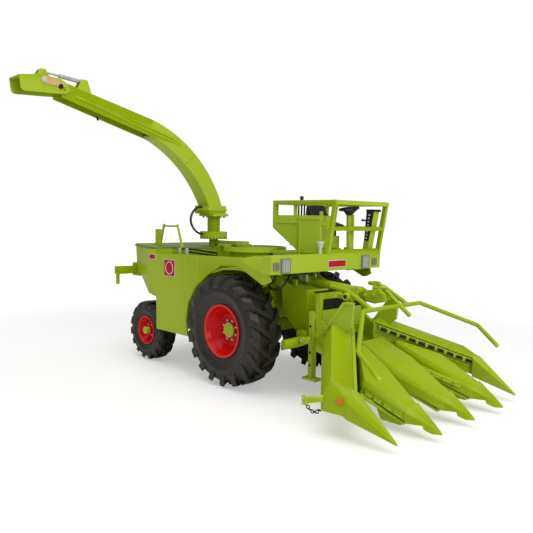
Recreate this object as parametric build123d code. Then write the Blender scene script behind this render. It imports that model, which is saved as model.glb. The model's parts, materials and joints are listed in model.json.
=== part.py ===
from build123d import *
import os

# Scale model of a self-propelled forage harvester with a four-row maize header.
# Millimetres. +X forward, +Y to the machine's left, +Z up.
# The origin is on the floor below the middle of the front axle.

# Clearances
RUN_FIT = 0.05      # radial play of a shaft in its bore

# Front wheels
FRONT_TYRE_R = 22.6
FRONT_TYRE_W = 14.3
FRONT_HALF_TRACK = 26.0
FRONT_RIM_R = 10.7
FRONT_RIM_HALF_W = 6.1
FRONT_LUG_H = 1.7
FRONT_LUG_W = 2.0
FRONT_LUGS = 18
FRONT_STUB_R = 2.2
FRONT_DISH = 5.2
FRONT_CAP_R = 3.0
FRONT_CAP_H = 0.8

# Rear wheels and their steering
REAR_AXLE_X = -59.9
REAR_TYRE_R = 13.9
REAR_TYRE_W = 8.6
REAR_HALF_TRACK = 24.6
REAR_RIM_R = 6.6
REAR_RIM_HALF_W = 3.9
REAR_LUG_H = 1.1
REAR_LUG_W = 1.5
REAR_LUGS = 15
REAR_STUB_R = 1.4
REAR_DISH = 3.0
REAR_CAP_R = 1.7
REAR_CAP_H = 1.8
KINGPIN_Y = 16.5
KINGPIN_R = 1.0
STEER_ARM = 6.0
SEAT_STEP = 0.35    # the tyre sits this far below the rim's edge

# Chassis
RAIL_Y = 10.5
RAIL_W = 3.0
RAIL_Z = 20.5
RAIL_H = 6.0
RAIL_REAR_X = -76.0
RAIL_FRONT_X = 6.0
SCREW_REAR_X = -40.0
SCREW_SPACING = 22.0
SCREW_HOLE_R = 1.2
AXLE_TUBE_R = 3.4

# Body
WALL_Y = 31.0       # outer face of the side panels
WALL_T = 0.8
DECK_Z = 53.9       # top of the engine deck
DECK_T = 1.0
SHELF_Z = 49.0
SHELF_T = 1.8
BEND_X = -54.8      # where the sides start to taper to the rear
TAIL_X = -80.0
TAIL_HALF_W = 21.4
DECK_FRONT_X = -50.0
DECK_TONGUE_X = -41.5
DECK_TONGUE_Y = 20.5
BODY_FRONT_X = 24.0
SHOULDER_Y = 21.0
SCREEN_X = -17.0
SCREEN_Y = 1.5
SCREEN_R = 14.2
SCREEN_RIM_H = 2.2
SCREEN_RIM_T = 0.8
SHROUD_R = 11.5
REST_Y = -20.0

# Platform and guard cage
FLOOR_Z = 52.9
FLOOR_T = 1.2
FASCIA_X = 29.0
FASCIA_T = 1.2
FASCIA_BOTTOM_Z = 47.4
FASCIA_DEPTH = 5.0
HALF_WIDTH = 33.1
CAGE_RIGHT_Y = -1.9
CAGE_REAR_X = -2.4
CAGE_TOP_X = 32.7
CAGE_TOP_Z = 75.5
CAGE_TUBE = 1.7
MID_RAIL_Z = 64.2
BOX_TOP_Z = 69.3
BOX_FRONT_X = 25.1
BOX_FOLD_X = 13.7
BOX_TOP_REAR_X = 7.4
BOX_REAR_LOW_Z = 63.9
BOX_INNER_Y = 4.5
SHEET = 0.7
LAMPS_Y = (-26.0, 22.0)
SIGNALS_Y = (-30.8, 28.6)

# Driver's place
DRIVER_Y = 12.0
SEAT_HALF_W = 5.5
SEAT_SIDE_T = 1.2
PEDESTAL_TOP_Z = 61.0
CUSHION_Z = 64.5
WHEEL_AT = (25.2, 15.5, 72.4)
WHEEL_R = 3.9
WHEEL_RIM_R = 0.5
HUB_DROP = 3.4
LEVER_FIRST_X = 8.2
LEVER_PITCH = 1.625
LEVER_COUNT = 5
LEVER_R = 0.35
LEVER_Y = 1.2
LEVER_TOP_Z = 73.6
TALL_LEVER_Z = 76.0

# Spout
SPOUT_X = -45.0
SPOUT_JOINT_Z = 57.4
SPOUT_HALF_W = 4.0
SPOUT_WALL = 0.7
SPOUT_FOOT_Z = 73.4
NECK_R = 2.2
GEAR_R = 6.6
GEAR_T = 3.6
GEAR_NOTCHES = 28
COLUMN_R = 3.0
FLANGE_R = 7.0
FLANGE_Z = 68.4
SPOUT_END_S = 78.4
CHANNEL_START_S = 38.0
FLAP_PIN_S = 77.6
FLAP_PIN_Z = 115.8
FLAP_PIN_R = 0.6
FLAP_HALF_W = 4.8
FLAP_WALL = 0.6
CYL_W = 2.6         # the flap's cylinder stands this far beside the spout's middle
CYL_FOOT_S = 69.0
CYL_FOOT_Z = 119.9
CYL_EYE_S = 85.8
CYL_EYE_Z = 121.2
CYL_PIN_R = 0.4
CYL_ROD_R = 0.4
CYL_BARREL_R = 0.8
CYL_BARREL_L = 10.0
CYL_EYE_R = 1.0

# Feed housing
HINGE_X = 10.0
HINGE_Z = 43.5
HINGE_R = 0.9
HOUSING_HALF_W = 12.5
TILT_REAR = (16.5, 0.0, 43.8)
TILT_FRONT = (45.6, 0.0, 41.4)
TILT_R = 2.2

# Header
TUBE_R = 0.8
HEADER_X = 34.6     # where the header meets the housing
HEADER_HALF_W = 14.4
CHEEK_Y = 12.6
BASE_X = 50.0       # the row base's upper face is at BASE_Z here
BASE_Z = 16.0
BASE_SLOPE = 0.40
BASE_T = 0.8
TIP_X = 93.0
TIP_Z = 2.6
ROW_PITCH_Y = 20.4
LINK_PITCH = 2.6


def block(x0, x1, y0, y1, z0, z1):
    """A box between two corners."""
    return Pos((x0 + x1) / 2, (y0 + y1) / 2, (z0 + z1) / 2) * Box(abs(x1 - x0), abs(y1 - y0), abs(z1 - z0))


def rod(start, end, radius):
    """A round bar between two points."""
    a, b = Vector(*start), Vector(*end)
    return Plane(origin=(a + b) / 2, z_dir=(b - a)) * Cylinder(radius, (b - a).length)


def flat_bar(start, end, width, height, up=(0, 0, 1)):
    """A rectangular bar between two points, its height measured towards up."""
    a, b = Vector(*start), Vector(*end)
    along = (b - a).normalized()
    side = Vector(*up).cross(along).normalized()
    return Plane(origin=(a + b) / 2, x_dir=side, z_dir=along) * Box(width, height, (b - a).length)


def side_sheet(points, y0, y1):
    """A profile in X and Z, extruded from y0 to y1."""
    face = make_face(Polyline([(x, y0, z) for x, z in points], close=True))
    return extrude(face, amount=abs(y1 - y0), dir=(0, 1 if y1 > y0 else -1, 0))


def flat_sheet(points, z0, z1):
    """A profile in X and Y, extruded from z0 to z1."""
    face = make_face(Polyline([(x, y, z0) for x, y in points], close=True))
    return extrude(face, amount=abs(z1 - z0), dir=(0, 0, 1 if z1 > z0 else -1))


def lathed(profile):
    """A profile of Y and radius, turned about the Y axis."""
    return revolve(make_face(Polyline([(0, y, r) for y, r in profile], close=True)), axis=Axis.Y)


def mirrored(shape):
    """The same piece on the other side of the machine."""
    return mirror(shape, about=Plane.XZ)


def triangle(a, b, c):
    """A flat face on three corner points."""
    return Face(Wire.make_polygon([Vector(*p) for p in (a, b, c)], close=True))


def folded_solid(rings, tip=None):
    """A solid of flat facets through rings of corner points, closed by a tip or by its last ring."""
    faces = []
    for ring, following in zip(rings, rings[1:]):
        for i in range(len(ring)):
            j = (i + 1) % len(ring)
            faces.append(triangle(ring[i], ring[j], following[j]))
            faces.append(triangle(ring[i], following[j], following[i]))
    last = rings[-1]
    if tip is not None:
        faces += [triangle(last[i], last[(i + 1) % len(last)], tip) for i in range(len(last))]
    ends = [rings[0]] if tip is not None else [rings[0], last]
    for ring in ends:
        faces += [triangle(ring[0], ring[i], ring[i + 1]) for i in range(1, len(ring) - 1)]
    return Solid(Shell(faces))


def bent_tube(points, radius, bend, sides):
    """A tube of so many sides along straight runs joined by arcs."""
    path = FilletPolyline(*points, radius=bend)
    start = Plane(origin=path @ 0, z_dir=path % 0)
    return sweep(start * RegularPolygon(radius, sides), path=path)


def hose(points, radius):
    """A slim hose on a smooth curve through its points."""
    path = Spline(*points)
    start = Plane(origin=path @ 0, z_dir=path % 0)
    return sweep(start * RegularPolygon(radius, 8), path=path)


def tyre_lug(tyre_r, half, lug_h, lug_w):
    """One slanted lug at the top of the tyre, running from the middle over the shoulder."""
    tread = (tyre_r - lug_h - 0.4) / tyre_r
    stations = [
        # crest across, turn in degrees, crest radius, foot across, foot radius, width, as shares of the tyre's and the lug's sizes
        (-0.10, 0.0, 1.0, -0.10, tread, 0.9),
        (0.42, -5.5, 1.0, 0.42, tread, 1.0),
        (0.82, -12.5, 0.985, 0.78, 0.86, 1.35),
        (1.03, -17.0, 0.91, 0.86, 0.80, 1.6),
        (1.03, -18.0, 0.80, 0.88, 0.72, 1.5),
    ]
    foot_spread = 1.35
    rings = []
    for crest_y, turn, crest_r, foot_y, foot_r, width in stations:
        crest_turn = degrees_of(lug_w * width / 2 / tyre_r)
        foot_turn = crest_turn * foot_spread
        rings.append([
            on_circle(crest_r * tyre_r, turn - crest_turn, crest_y * half),
            on_circle(crest_r * tyre_r, turn + crest_turn, crest_y * half),
            on_circle(foot_r * tyre_r, turn + foot_turn, foot_y * half),
            on_circle(foot_r * tyre_r, turn - foot_turn, foot_y * half),
        ])
    return folded_solid(rings)


def degrees_of(radians):
    """An angle in degrees."""
    return radians * 57.29578


def on_circle(radius, turn, y):
    """A point at a turn about the Y axis, counted from the top."""
    spoke = Vector(0, 0, radius).rotate(Axis.Y, turn)
    return (spoke.X, y, spoke.Z)


def wheel_tyre(tyre_r, width, seat_r, lug_h, lug_w, lugs):
    """A tyre about the Y axis at the origin, with two rows of slanted lugs half a pitch apart."""
    half = width / 2
    tread_r = tyre_r - lug_h
    profile = [(half * 0.74, seat_r), (half, (seat_r + tread_r) / 2), (half * 0.93, tyre_r * 0.855), (half * 0.58, tread_r)]
    carcass = lathed(profile + [(-y, r) for y, r in reversed(profile)])
    lug = tyre_lug(tyre_r, half, lug_h, lug_w)
    pitch = 360 / lugs
    row = [Rot(0, index * pitch, 0) * lug for index in range(lugs)]
    far_row = [Rot(0, (index + 0.5) * pitch, 0) * mirrored(lug) for index in range(lugs)]
    return carcass.fuse(*row, *far_row)


def wheel_rim(rim_r, half_w, dish, bore_r, hub_r, hub_out):
    """A stepped rim about the Y axis at the origin, its open side towards -Y."""
    outer = -half_w
    disc_y = outer + dish
    seat_r = rim_r - SEAT_STEP
    profile = [
        (outer, rim_r * 0.925), (outer, rim_r), (outer + 0.5, rim_r), (outer + 0.5, seat_r), (half_w, seat_r), (half_w, seat_r * 0.9),
        (disc_y + 1.4, rim_r * 0.62), (disc_y + 1.4, bore_r), (disc_y - hub_out, bore_r), (disc_y - hub_out, hub_r), (disc_y, hub_r),
        (disc_y, rim_r * 0.617), (outer + dish * 0.42, rim_r * 0.795), (outer + dish * 0.36, rim_r * 0.83),
    ]
    return lathed(profile)


def wheels():
    """Tyres, rims and hub caps of the four wheels."""
    rows = [
        # name, axle x, half track, tyre radius and width, lug height, width and count, rim radius, half width and dish,
        # stub radius, hub radius and reach, cap radius and height
        ("front", 0.0, FRONT_HALF_TRACK, FRONT_TYRE_R, FRONT_TYRE_W, FRONT_LUG_H, FRONT_LUG_W, FRONT_LUGS, FRONT_RIM_R,
         FRONT_RIM_HALF_W, FRONT_DISH, FRONT_STUB_R, FRONT_CAP_R + 0.1, 0.4, FRONT_CAP_R, FRONT_CAP_H),
        ("rear", REAR_AXLE_X, REAR_HALF_TRACK, REAR_TYRE_R, REAR_TYRE_W, REAR_LUG_H, REAR_LUG_W, REAR_LUGS, REAR_RIM_R,
         REAR_RIM_HALF_W, REAR_DISH, REAR_STUB_R, REAR_CAP_R + 0.2, 1.6, REAR_CAP_R, REAR_CAP_H),
    ]
    nodes = {}
    for (name, x, half_track, tyre_r, tyre_w, lug_h, lug_w, lugs, rim_r, half_w, dish, stub_r, hub_r, hub_out, cap_r, cap_h) in rows:
        place = Pos(x, -half_track, tyre_r)
        cap_y = -half_w + dish - hub_out - cap_h / 2
        right = {
            "tyre": wheel_tyre(tyre_r, tyre_w, rim_r - SEAT_STEP, lug_h, lug_w, lugs),
            "rim": wheel_rim(rim_r, half_w, dish, stub_r + RUN_FIT, hub_r, hub_out),
            "hub_cap": Pos(0, cap_y, 0) * Rot(90, 0, 0) * Cylinder(cap_r, cap_h),
        }
        for piece, shape in right.items():
            nodes[f"{name}_{piece}_right"] = place * shape
            nodes[f"{name}_{piece}_left"] = mirrored(place * shape)
    return nodes


def chassis_frame():
    """Rails, cross members with the plinth's screw holes, and the front axle with its stubs."""
    rear_z, top_z = RAIL_Z, RAIL_Z + RAIL_H
    pieces = [block(RAIL_REAR_X, RAIL_FRONT_X, side * RAIL_Y - RAIL_W / 2, side * RAIL_Y + RAIL_W / 2, rear_z, top_z)
              for side in (-1, 1)]
    for x in (RAIL_REAR_X + 2.0, SCREW_REAR_X, SCREW_REAR_X + SCREW_SPACING):
        pieces.append(block(x - 3.0, x + 3.0, -RAIL_Y, RAIL_Y, rear_z + 0.5, top_z - 0.5))
    pieces.append(block(REAR_AXLE_X - 3, REAR_AXLE_X + 3, -RAIL_Y, RAIL_Y, rear_z, top_z))
    tube_half = FRONT_HALF_TRACK - FRONT_TYRE_W / 2 - 1.2
    stub_half = FRONT_HALF_TRACK + FRONT_RIM_HALF_W - FRONT_DISH - 0.2
    pieces.append(rod((0, -tube_half, FRONT_TYRE_R), (0, tube_half, FRONT_TYRE_R), AXLE_TUBE_R))
    pieces.append(rod((0, -stub_half, FRONT_TYRE_R), (0, stub_half, FRONT_TYRE_R), FRONT_STUB_R))
    frame = pieces[0].fuse(*pieces[1:])
    for x in (SCREW_REAR_X, SCREW_REAR_X + SCREW_SPACING):
        frame = frame - Pos(x, 0, rear_z + RAIL_H / 2) * Cylinder(SCREW_HOLE_R, RAIL_H * 2)
    return frame


def rear_axle():
    """The rear beam with its pivot block, fork ears and kingpins."""
    x, z = REAR_AXLE_X, REAR_TYRE_R
    beam = block(x - 2, x + 2, -KINGPIN_Y + 2.4, KINGPIN_Y - 2.4, z - 1.8, z + 2.2) + block(x - 2, x + 2, -3, 3, z + 2.2, RAIL_Z)
    for side in (-1, 1):
        for ear_z in (z - 3.5, z + 3.5):
            beam = beam + block(x - 1.8, x + 1.8, side * (KINGPIN_Y - 3.2), side * (KINGPIN_Y + 1.6), ear_z - 0.8, ear_z + 0.8)
        beam = beam + block(x - 1.8, x + 1.8, side * (KINGPIN_Y - 4.2), side * (KINGPIN_Y - 2.2), z - 4.3, z + 4.3)
        beam = beam + Pos(x, side * KINGPIN_Y, z) * Cylinder(KINGPIN_R, 8.6)
    return beam


def steering():
    """Knuckles on their kingpins and the tie rod between their arms."""
    x, z = REAR_AXLE_X, REAR_TYRE_R
    stub_end = REAR_HALF_TRACK + REAR_RIM_HALF_W - REAR_DISH + 1.4
    knuckle = Pos(x, -KINGPIN_Y, z) * Cylinder(KINGPIN_R + 0.9, 4.4)
    knuckle = knuckle + rod((x, -KINGPIN_Y, z), (x, -stub_end, z), REAR_STUB_R)
    knuckle = knuckle + block(x - STEER_ARM, x, -KINGPIN_Y - 0.9, -KINGPIN_Y + 0.9, z - 2.2, z - 1.2)
    knuckle = knuckle + Pos(x - STEER_ARM, -KINGPIN_Y, z - 2.4) * Cylinder(0.5, 2.4)
    knuckle = knuckle - Pos(x, -KINGPIN_Y, z) * Cylinder(KINGPIN_R + RUN_FIT, 6)
    tie_x = x - STEER_ARM
    tie = block(tie_x - 0.6, tie_x + 0.6, -KINGPIN_Y, KINGPIN_Y, z - 3.5, z - 2.5)
    for side in (-1, 1):
        tie = tie + Pos(tie_x, side * KINGPIN_Y, z - 3.0) * Cylinder(1.1, 1.0)
        tie = tie - Pos(tie_x, side * KINGPIN_Y, z - 3.0) * Cylinder(0.5 + RUN_FIT, 3)
    return {"knuckle_right": knuckle, "knuckle_left": mirrored(knuckle), "tie_rod": tie}


def chassis():
    """The frame with the front axle, the rear axle and the steering."""
    return {"chassis_frame": chassis_frame(), "rear_axle": rear_axle(), **steering()}


def hull():
    """The engine hull, its shelf, the screen's shroud, the riser below the platform and the header's hinge."""
    inner_y = WALL_Y - WALL_T
    top_z = DECK_Z - DECK_T
    plan = [(TAIL_X, -TAIL_HALF_W), (BEND_X, -inner_y), (-26.0, -inner_y), (-26.0, inner_y), (BEND_X, inner_y), (TAIL_X, TAIL_HALF_W)]
    profile = [(TAIL_X, top_z), (TAIL_X + 1.5, 43.6), (BEND_X, 32.4), (-26.0, 27.0), (-26.0, SHELF_Z), (DECK_FRONT_X, SHELF_Z),
               (DECK_FRONT_X, top_z)]
    shell = side_sheet(profile, -WALL_Y, WALL_Y) & flat_sheet(plan, 10, 60)
    tongue = block(DECK_FRONT_X, DECK_TONGUE_X, -DECK_TONGUE_Y, DECK_TONGUE_Y, SHELF_Z, top_z)
    drum = block(-26.0, 8.0, -HOUSING_HALF_W, HOUSING_HALF_W, 26.5, SHELF_Z)
    shoulders = block(-26.0, 8.0, -17.5, 17.5, 40.0, SHELF_Z)
    shelf = block(-26.0, BODY_FRONT_X, -SHOULDER_Y - 0.8, SHOULDER_Y + 0.8, SHELF_Z - SHELF_T, SHELF_Z)
    riser = block(CAGE_REAR_X, BODY_FRONT_X, CAGE_RIGHT_Y + 0.4, SHOULDER_Y, SHELF_Z, FLOOR_Z)
    shroud = Pos(SCREEN_X, SCREEN_Y, SHELF_Z + 2.0) * Cylinder(SHROUD_R, 4.0)
    return shell.fuse(tongue, drum, shoulders, shelf, riser, shroud, header_hinge())


def header_hinge():
    """The header's hinge shaft between two plates on the front of the hull."""
    w = HOUSING_HALF_W
    plate = [(7.6, HINGE_Z - 3.0), (7.6, HINGE_Z + 2.0), (HINGE_X + 1.8, HINGE_Z + 1.6), (HINGE_X + 1.8, HINGE_Z - 1.6)]
    plates = [side_sheet(plate, side * (w - 3.2), side * (w - 1.5)) for side in (-1, 1)]
    return rod((HINGE_X, -w - 1, HINGE_Z), (HINGE_X, w + 1, HINGE_Z), HINGE_R).fuse(*plates)


def side_panel():
    """The right side panel with the wheel arch and the folded shoulder behind the fascia."""
    inner_y = WALL_Y - WALL_T
    top_z = DECK_Z - DECK_T
    outline = [
        (BEND_X, top_z), (BEND_X, 38.0), (-47.6, 32.3), (-47.1, 16.8), (-23.8, 16.8), (-24.9, 24.0), (-23.4, 31.0), (-18.4, 38.6),
        (-10.0, 44.4), (-1.7, 48.7), (8.5, 49.2), (22.0, 43.1), (23.8, 43.2), (26.5, 44.6), (25.2, 48.1), (22.0, 46.9),
        (12.0, 51.0), (9.6, 52.6), (-27.0, 51.7), (DECK_FRONT_X, 50.9), (DECK_FRONT_X, top_z),
    ]
    wall = side_sheet(outline, -WALL_Y, -inner_y)
    folds = [
        # x, outer height
        (7.6, 51.9), (12.0, 50.6), (16.0, 49.2), (22.0, 46.8), (25.0, 47.6),
    ]
    rings = [[(x, -inner_y - 0.2, z), (x, -SHOULDER_Y, FLOOR_Z - 0.1), (x, -SHOULDER_Y, FLOOR_Z - 1.1), (x, -inner_y - 0.2, z - 1.1)]
             for x, z in folds]
    inner_wall = block(7.6, BODY_FRONT_X, -SHOULDER_Y - 0.8, -SHOULDER_Y, SHELF_Z, FLOOR_Z - 0.4)
    mudguard = side_sheet([(-8.0, 45.9), (-1.7, 47.8), (8.4, 48.3), (21.8, 46.9), (21.8, 46.1), (8.4, 47.5), (-1.7, 47.0), (-8.0, 45.0)],
                          -inner_y - 0.2, -20.0)
    return wall.fuse(folded_solid(rings), inner_wall) , mudguard


def body():
    """Engine hull, side panels, deck, round screen and the small deck fittings."""
    inner_y = WALL_Y - WALL_T
    low = DECK_Z - DECK_T
    main_hull = hull()
    panel, mudguard = side_panel()
    panel = (panel + (mudguard - main_hull)) - main_hull
    neck = rod((SPOUT_X, 0, SHELF_Z), (SPOUT_X, 0, SPOUT_JOINT_Z), NECK_R)
    base = neck.fuse(block(SPOUT_X, SPOUT_X + 6.5, -2.5, 2.5, SHELF_Z, DECK_Z + 0.6),
                     block(SPOUT_X, -24.0, -1.4, 1.4, 55.4, 57.0), block(-26.4, -21.4, -1.9, 1.9, 55.4, 57.2)) - main_hull
    right_edge = [(TAIL_X - 0.4, -TAIL_HALF_W - 0.4), (BEND_X, -inner_y), (DECK_FRONT_X, -inner_y), (DECK_FRONT_X, -DECK_TONGUE_Y),
                  (DECK_TONGUE_X, -DECK_TONGUE_Y)]
    deck = flat_sheet(right_edge + [(x, -y) for x, y in reversed(right_edge)], low, DECK_Z) - base
    rim_low = SHELF_Z + 4.0
    rim = Pos(SCREEN_X, SCREEN_Y, rim_low + SCREEN_RIM_H / 2) * Cylinder(SCREEN_R, SCREEN_RIM_H)
    rim = rim - Pos(SCREEN_X, SCREEN_Y, rim_low + SCREEN_RIM_H / 2 + 0.5) * Cylinder(SCREEN_R - SCREEN_RIM_T, SCREEN_RIM_H)
    disc = Pos(SCREEN_X, SCREEN_Y, rim_low + 1.0) * Cylinder(SCREEN_R - SCREEN_RIM_T, 1.0)
    arm_x = TAIL_X + 5.0
    face_y = TAIL_HALF_W + (inner_y - TAIL_HALF_W) * 5.0 / (BEND_X - TAIL_X)
    arm = block(arm_x - 1.3, arm_x + 1.3, -35.7, -face_y + 2.5, 39.8, 43.5).fuse(
        rod((arm_x, -34.6, 43.6), (arm_x, -34.6, 35.0), 0.9),
        block(arm_x - 3.0, arm_x + 3.0, -face_y - 1.6, -face_y + 3.0, 38.6, 45.0))
    rest = rod((-61.0, REST_Y, low), (-57.6, REST_Y, 64.2), 0.6).fuse(
        rod((-42.6, REST_Y, low), (-46.8, REST_Y, 64.2), 0.6), rod((-57.6, REST_Y, 63.4), (-46.8, REST_Y, 63.4), 0.4))
    rest = rest - block(-70, -30, -30, 0, low - 3, DECK_Z)
    post = block(-66.5, -65.3, -19.0, -16.2, DECK_Z, 61.8) + block(-66.9, -64.0, -19.0, -16.2, DECK_Z, DECK_Z + 1.0)
    couplers = [Pos(x, -24.0, SHELF_Z + 2.5) * Cylinder(0.8, 5.0) for x in (-39.1, -33.9)]
    hoses = [hose([(x, -23.3, z), (-37.6, -17.0, z - 0.4), (-38.0, -9.0, z - 1.6), (-38.4, -3.0, z - 2.4)], 0.45)
             for x, z in ((-39.1, 53.4), (-33.9, 52.0))]
    return {
        "hull": main_hull, "side_panels": Compound([panel, mirrored(panel)]), "deck_plate": deck, "screen_rim": rim, "screen_disc": disc,
        "spout_base": base, "rear_arm": arm - main_hull, "deck_fittings": Compound([rest, post]), "hose_couplers": Compound(couplers),
        "hydraulic_hoses": Compound([(shape - base) - Compound(couplers) for shape in hoses]),
    }


def cage_bars():
    """Start and end of each square tube of the guard cage, with its width."""
    low = FLOOR_Z + FLOOR_T
    t = CAGE_TUBE
    left_y = HALF_WIDTH - t / 2
    right_y = CAGE_RIGHT_Y + t / 2
    rear_x = CAGE_REAR_X + t / 2
    top_z = CAGE_TOP_Z - t / 2
    low_x = FASCIA_X - t / 2
    top_x = CAGE_TOP_X - t / 2
    mid_x = low_x + (top_x - low_x) * (MID_RAIL_Z - low) / (top_z - low)
    return [
        # start, end, width
        ((rear_x, right_y, top_z), (top_x, right_y, top_z), t),
        ((rear_x, left_y, top_z), (top_x, left_y, top_z), t),
        ((rear_x, right_y - t / 2, top_z), (rear_x, left_y + t / 2, top_z), t),
        ((top_x, right_y - t / 2, top_z), (top_x, left_y + t / 2, top_z), t),
        ((mid_x, right_y, MID_RAIL_Z), (mid_x, left_y, MID_RAIL_Z), t),
        ((rear_x, right_y, BOX_REAR_LOW_Z), (rear_x, right_y, CAGE_TOP_Z), t),
        ((rear_x, left_y, low), (rear_x, left_y, CAGE_TOP_Z), t),
        ((low_x, right_y, low - 0.6), (top_x, right_y, CAGE_TOP_Z), t),
        ((low_x, left_y, low - 0.6), (top_x, left_y, CAGE_TOP_Z), t),
        ((rear_x, left_y, MID_RAIL_Z), (mid_x, left_y, MID_RAIL_Z), t),
        ((low_x, right_y, low + t / 2), (low_x, left_y, low + t / 2), t),
        ((BOX_FRONT_X, right_y, low + t / 2), (low_x, right_y, low + t / 2), t),
        ((10.1, right_y, BOX_TOP_Z - 3), (10.1, right_y, top_z), 1.1),
    ]


def platform():
    """Platform floor with its pedals and fascia beam, lamps, guard cage and side box."""
    low = FLOOR_Z + FLOOR_T
    beam_x = FASCIA_X - FASCIA_DEPTH
    floor = flat_sheet([(CAGE_REAR_X, CAGE_RIGHT_Y), (beam_x, CAGE_RIGHT_Y), (beam_x, -HALF_WIDTH), (FASCIA_X, -HALF_WIDTH),
                        (FASCIA_X, HALF_WIDTH), (CAGE_REAR_X, HALF_WIDTH)], FLOOR_Z, low)
    fascia = block(FASCIA_X - FASCIA_T, FASCIA_X, -HALF_WIDTH, HALF_WIDTH, FASCIA_BOTTOM_Z, FLOOR_Z)
    ends = [block(beam_x, FASCIA_X, side * HALF_WIDTH, side * (HALF_WIDTH - 1.0), FASCIA_BOTTOM_Z, FLOOR_Z) for side in (-1, 1)]
    lamps = [block(FASCIA_X, FASCIA_X + 0.8, y - 2.0, y + 2.0, 48.1, 52.7) for y in LAMPS_Y]
    signals = [block(FASCIA_X, FASCIA_X + 0.5, y - 1.1, y + 1.1, 49.1, 51.4) for y in SIGNALS_Y]
    tubes = [flat_bar(start, end, width, width, up=(0, 0, 1) if abs(end[2] - start[2]) < 1 else (0, 1, 0))
             for start, end, width in cage_bars()]
    box = side_sheet([(CAGE_REAR_X, BOX_REAR_LOW_Z), (BOX_FOLD_X - 0.5, low), (BOX_FRONT_X, low), (BOX_FRONT_X, BOX_TOP_Z),
                      (CAGE_REAR_X, BOX_TOP_Z)], CAGE_RIGHT_Y, CAGE_RIGHT_Y + SHEET)
    box = box.fuse(block(BOX_FOLD_X, BOX_FRONT_X, CAGE_RIGHT_Y - 0.5, BOX_INNER_Y, low, BOX_TOP_Z),
                   block(BOX_TOP_REAR_X, BOX_FOLD_X, CAGE_RIGHT_Y, BOX_INNER_Y, BOX_TOP_Z - 0.8, BOX_TOP_Z))
    cage = tubes[0].fuse(*tubes[1:]) - block(-10, 40, -40, 40, FLOOR_Z - 5, low)
    corner = side_sheet([(BOX_FRONT_X, 65.5), (27.2, 65.5), (27.2, 66.5), (25.7, 67.0), (25.4, 71.0), (24.2, 71.0), (24.2, 68.0)], CAGE_RIGHT_Y,
                        CAGE_RIGHT_Y + SHEET)
    pedals = [block(20.6, 23.2, y, y + 2.4, low, 56.1) for y in (11.0, 18.4)]
    return {"platform": floor.fuse(fascia, *ends, *pedals), "headlamps": Compound(lamps), "signal_lamps": Compound(signals),
            "guard_cage": cage - box, "side_box": box + corner}


def seat():
    """Bucket seat: a middle shell with a raised side on each side, on its base block."""
    y0, y1 = DRIVER_Y - SEAT_HALF_W, DRIVER_Y + SEAT_HALF_W
    side = [(9.0, CUSHION_Z), (21.5, CUSHION_Z), (22.4, 65.6), (16.5, 69.8), (12.4, 73.0), (9.6, 74.0), (8.6, 70.0)]
    middle = [(9.0, CUSHION_Z), (21.5, CUSHION_Z), (22.4, 65.8), (12.6, 66.6), (11.6, 74.0), (9.4, 74.2), (8.6, 70.0)]
    shell = side_sheet(middle, y0 + SEAT_SIDE_T, y1 - SEAT_SIDE_T)
    return shell.fuse(side_sheet(side, y0, y0 + SEAT_SIDE_T), side_sheet(side, y1 - SEAT_SIDE_T, y1),
                      block(11.0, 19.0, DRIVER_Y - 3.5, DRIVER_Y + 3.5, PEDESTAL_TOP_Z, CUSHION_Z))


def steering_wheel():
    """A slim rim on three dished spokes and a hub below it."""
    plane = Plane(origin=WHEEL_AT, z_dir=(-0.15, 0, 1))
    section = Pos(WHEEL_R, 0, 0) * Rot(90, 0, 0) * RegularPolygon(WHEEL_RIM_R, 6)
    wheel = plane * revolve(section, axis=Axis.Z)
    for angle in (30, 150, 270):
        wheel = wheel + plane * Rot(0, 0, angle) * flat_bar((0.4, 0, 0.6 - HUB_DROP), (WHEEL_R - 0.1, 0, 0), 0.9, 0.5)
    return wheel + plane * Pos(0, 0, 0.5 - HUB_DROP) * Cylinder(1.1, 1.0)


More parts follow.
